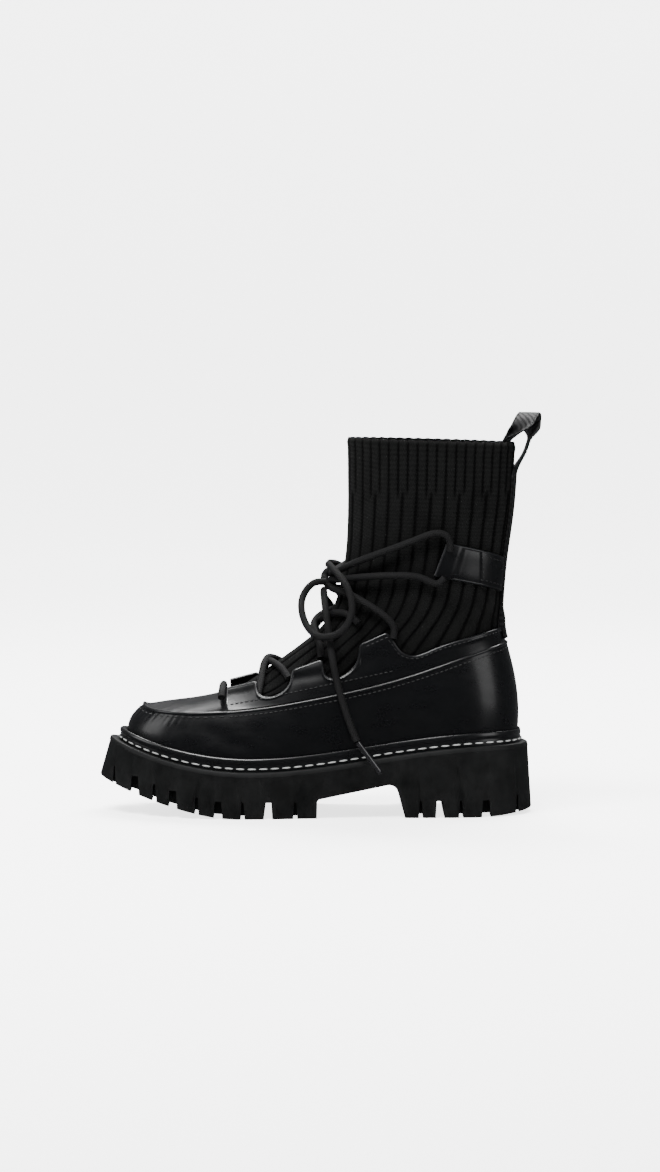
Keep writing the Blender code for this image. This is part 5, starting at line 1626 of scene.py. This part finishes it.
@dataclass
class Studio:
    """A plain pale floor, soft lights, and the camera at the photograph's angle."""

    camera_place: tuple[float, float, float] = (0.0071, -2.6, 0.330)
    aim: tuple[float, float, float] = (0.0071, 0.0, 0.1455)
    lens: float = 124.0
    # place, aim, width, height, power
    lights: tuple[tuple, ...] = (
        ((-0.45, -0.75, 1.50), (0.0, 0.0, 0.08), 1.00, 0.50, 80.0),
        ((1.10, -0.80, 0.55), (0.08, 0.0, 0.08), 0.70, 1.00, 8.0),
        ((-1.50, -0.20, 0.80), (-0.05, 0.0, 0.08), 0.70, 0.90, 10.0),
        ((0.20, 0.90, 1.60), (0.0, 0.0, 0.15), 1.40, 0.60, 90.0))
    sheet_reach: tuple[float, float] = (-2.4, 2.6)
    sheet_bend: float = 0.8
    sheet_glow: float = 2.2

    def build_camera(self) -> None:
        """Set the camera."""
        data = bpy.data.cameras.new("camera")
        data.lens = self.lens
        data.sensor_fit = "VERTICAL"
        data.sensor_height = 36.0
        data.clip_start = 0.05
        camera = bpy.data.objects.new("camera", data)
        camera.location = self.camera_place
        look = Vector(self.aim) - Vector(self.camera_place)
        camera.rotation_euler = look.to_track_quat("-Z", "Y").to_euler()
        bpy.context.scene.collection.objects.link(camera)
        bpy.context.scene.camera = camera

    def build(self) -> None:
        """Build the floor and the lights."""
        mesh_data = bmesh.new()
        near, far = self.sheet_reach
        quarter = self.sheet_bend * math.pi / 2.0
        total = far - near + quarter + 2.5

        def place(first: float, second: float) -> Vector:
            """Return a point of the sheet that runs over the floor and curves up behind."""
            reach = second * total
            x = (first - 0.5) * 7.0
            if reach < far - near:
                return Vector((x, near + reach, 0.0))
            bend = min((reach - (far - near)) / self.sheet_bend, math.pi / 2.0)
            rest = max(0.0, reach - (far - near) - quarter)
            return Vector((x, far + self.sheet_bend * math.sin(bend),
                           self.sheet_bend * (1.0 - math.cos(bend)) + rest))

        lay_grid(mesh_data, 4, 80, place)
        mesh = bpy.data.meshes.new("studio_sheet")
        mesh_data.to_mesh(mesh)
        mesh_data.free()
        mesh.shade_smooth()
        floor = bpy.data.objects.new("studio_sheet", mesh)
        made, wiring = Finish("studio_paper", (0.86, 0.86, 0.86), 0.9, specular=0.0).start()
        wiring.shader.inputs["Emission Color"].default_value = (1.0, 1.0, 1.0, 1.0)
        glow = wiring.ranged(wiring.parts("Object")[1], -0.6, 2.4, self.sheet_glow, self.sheet_glow * 1.55)
        wiring.feed(glow, "Emission Strength")
        mesh.materials.append(made)
        floor.visible_glossy = False
        bpy.context.scene.collection.objects.link(floor)
        world = bpy.data.worlds.new("studio")
        world.use_nodes = True
        world.node_tree.nodes["Background"].inputs["Color"].default_value = (0.93, 0.95, 1.0, 1.0)
        world.node_tree.nodes["Background"].inputs["Strength"].default_value = 0.16
        bpy.context.scene.world = world
        for i, (place, aim, wide, tall, power) in enumerate(self.lights):
            data = bpy.data.lights.new("softbox_%d" % i, "AREA")
            data.shape = "RECTANGLE"
            data.size = wide
            data.size_y = tall
            data.energy = power
            light = bpy.data.objects.new("softbox_%d" % i, data)
            light.location = place
            light.rotation_euler = (Vector(aim) - Vector(place)).to_track_quat("-Z", "Y").to_euler()
            bpy.context.scene.collection.objects.link(light)


def main() -> None:
    """Build the boot and its studio in order."""
    logging.basicConfig(level=logging.INFO, format="%(message)s")
    last = Last()
    finishes = Finishes()
    studio = Studio()
    studio.build_camera()
    Lace(last, finishes).build()
    LeatherUpper(last, finishes).build()
    TabPanel(last, finishes).build()
    KnitShaft(last, finishes).build()
    BackStrip(last, finishes).build()
    AnkleStraps(last, finishes).build()
    Bottom(last, finishes).build()
    studio.build()


if __name__ == "__main__":
    main()
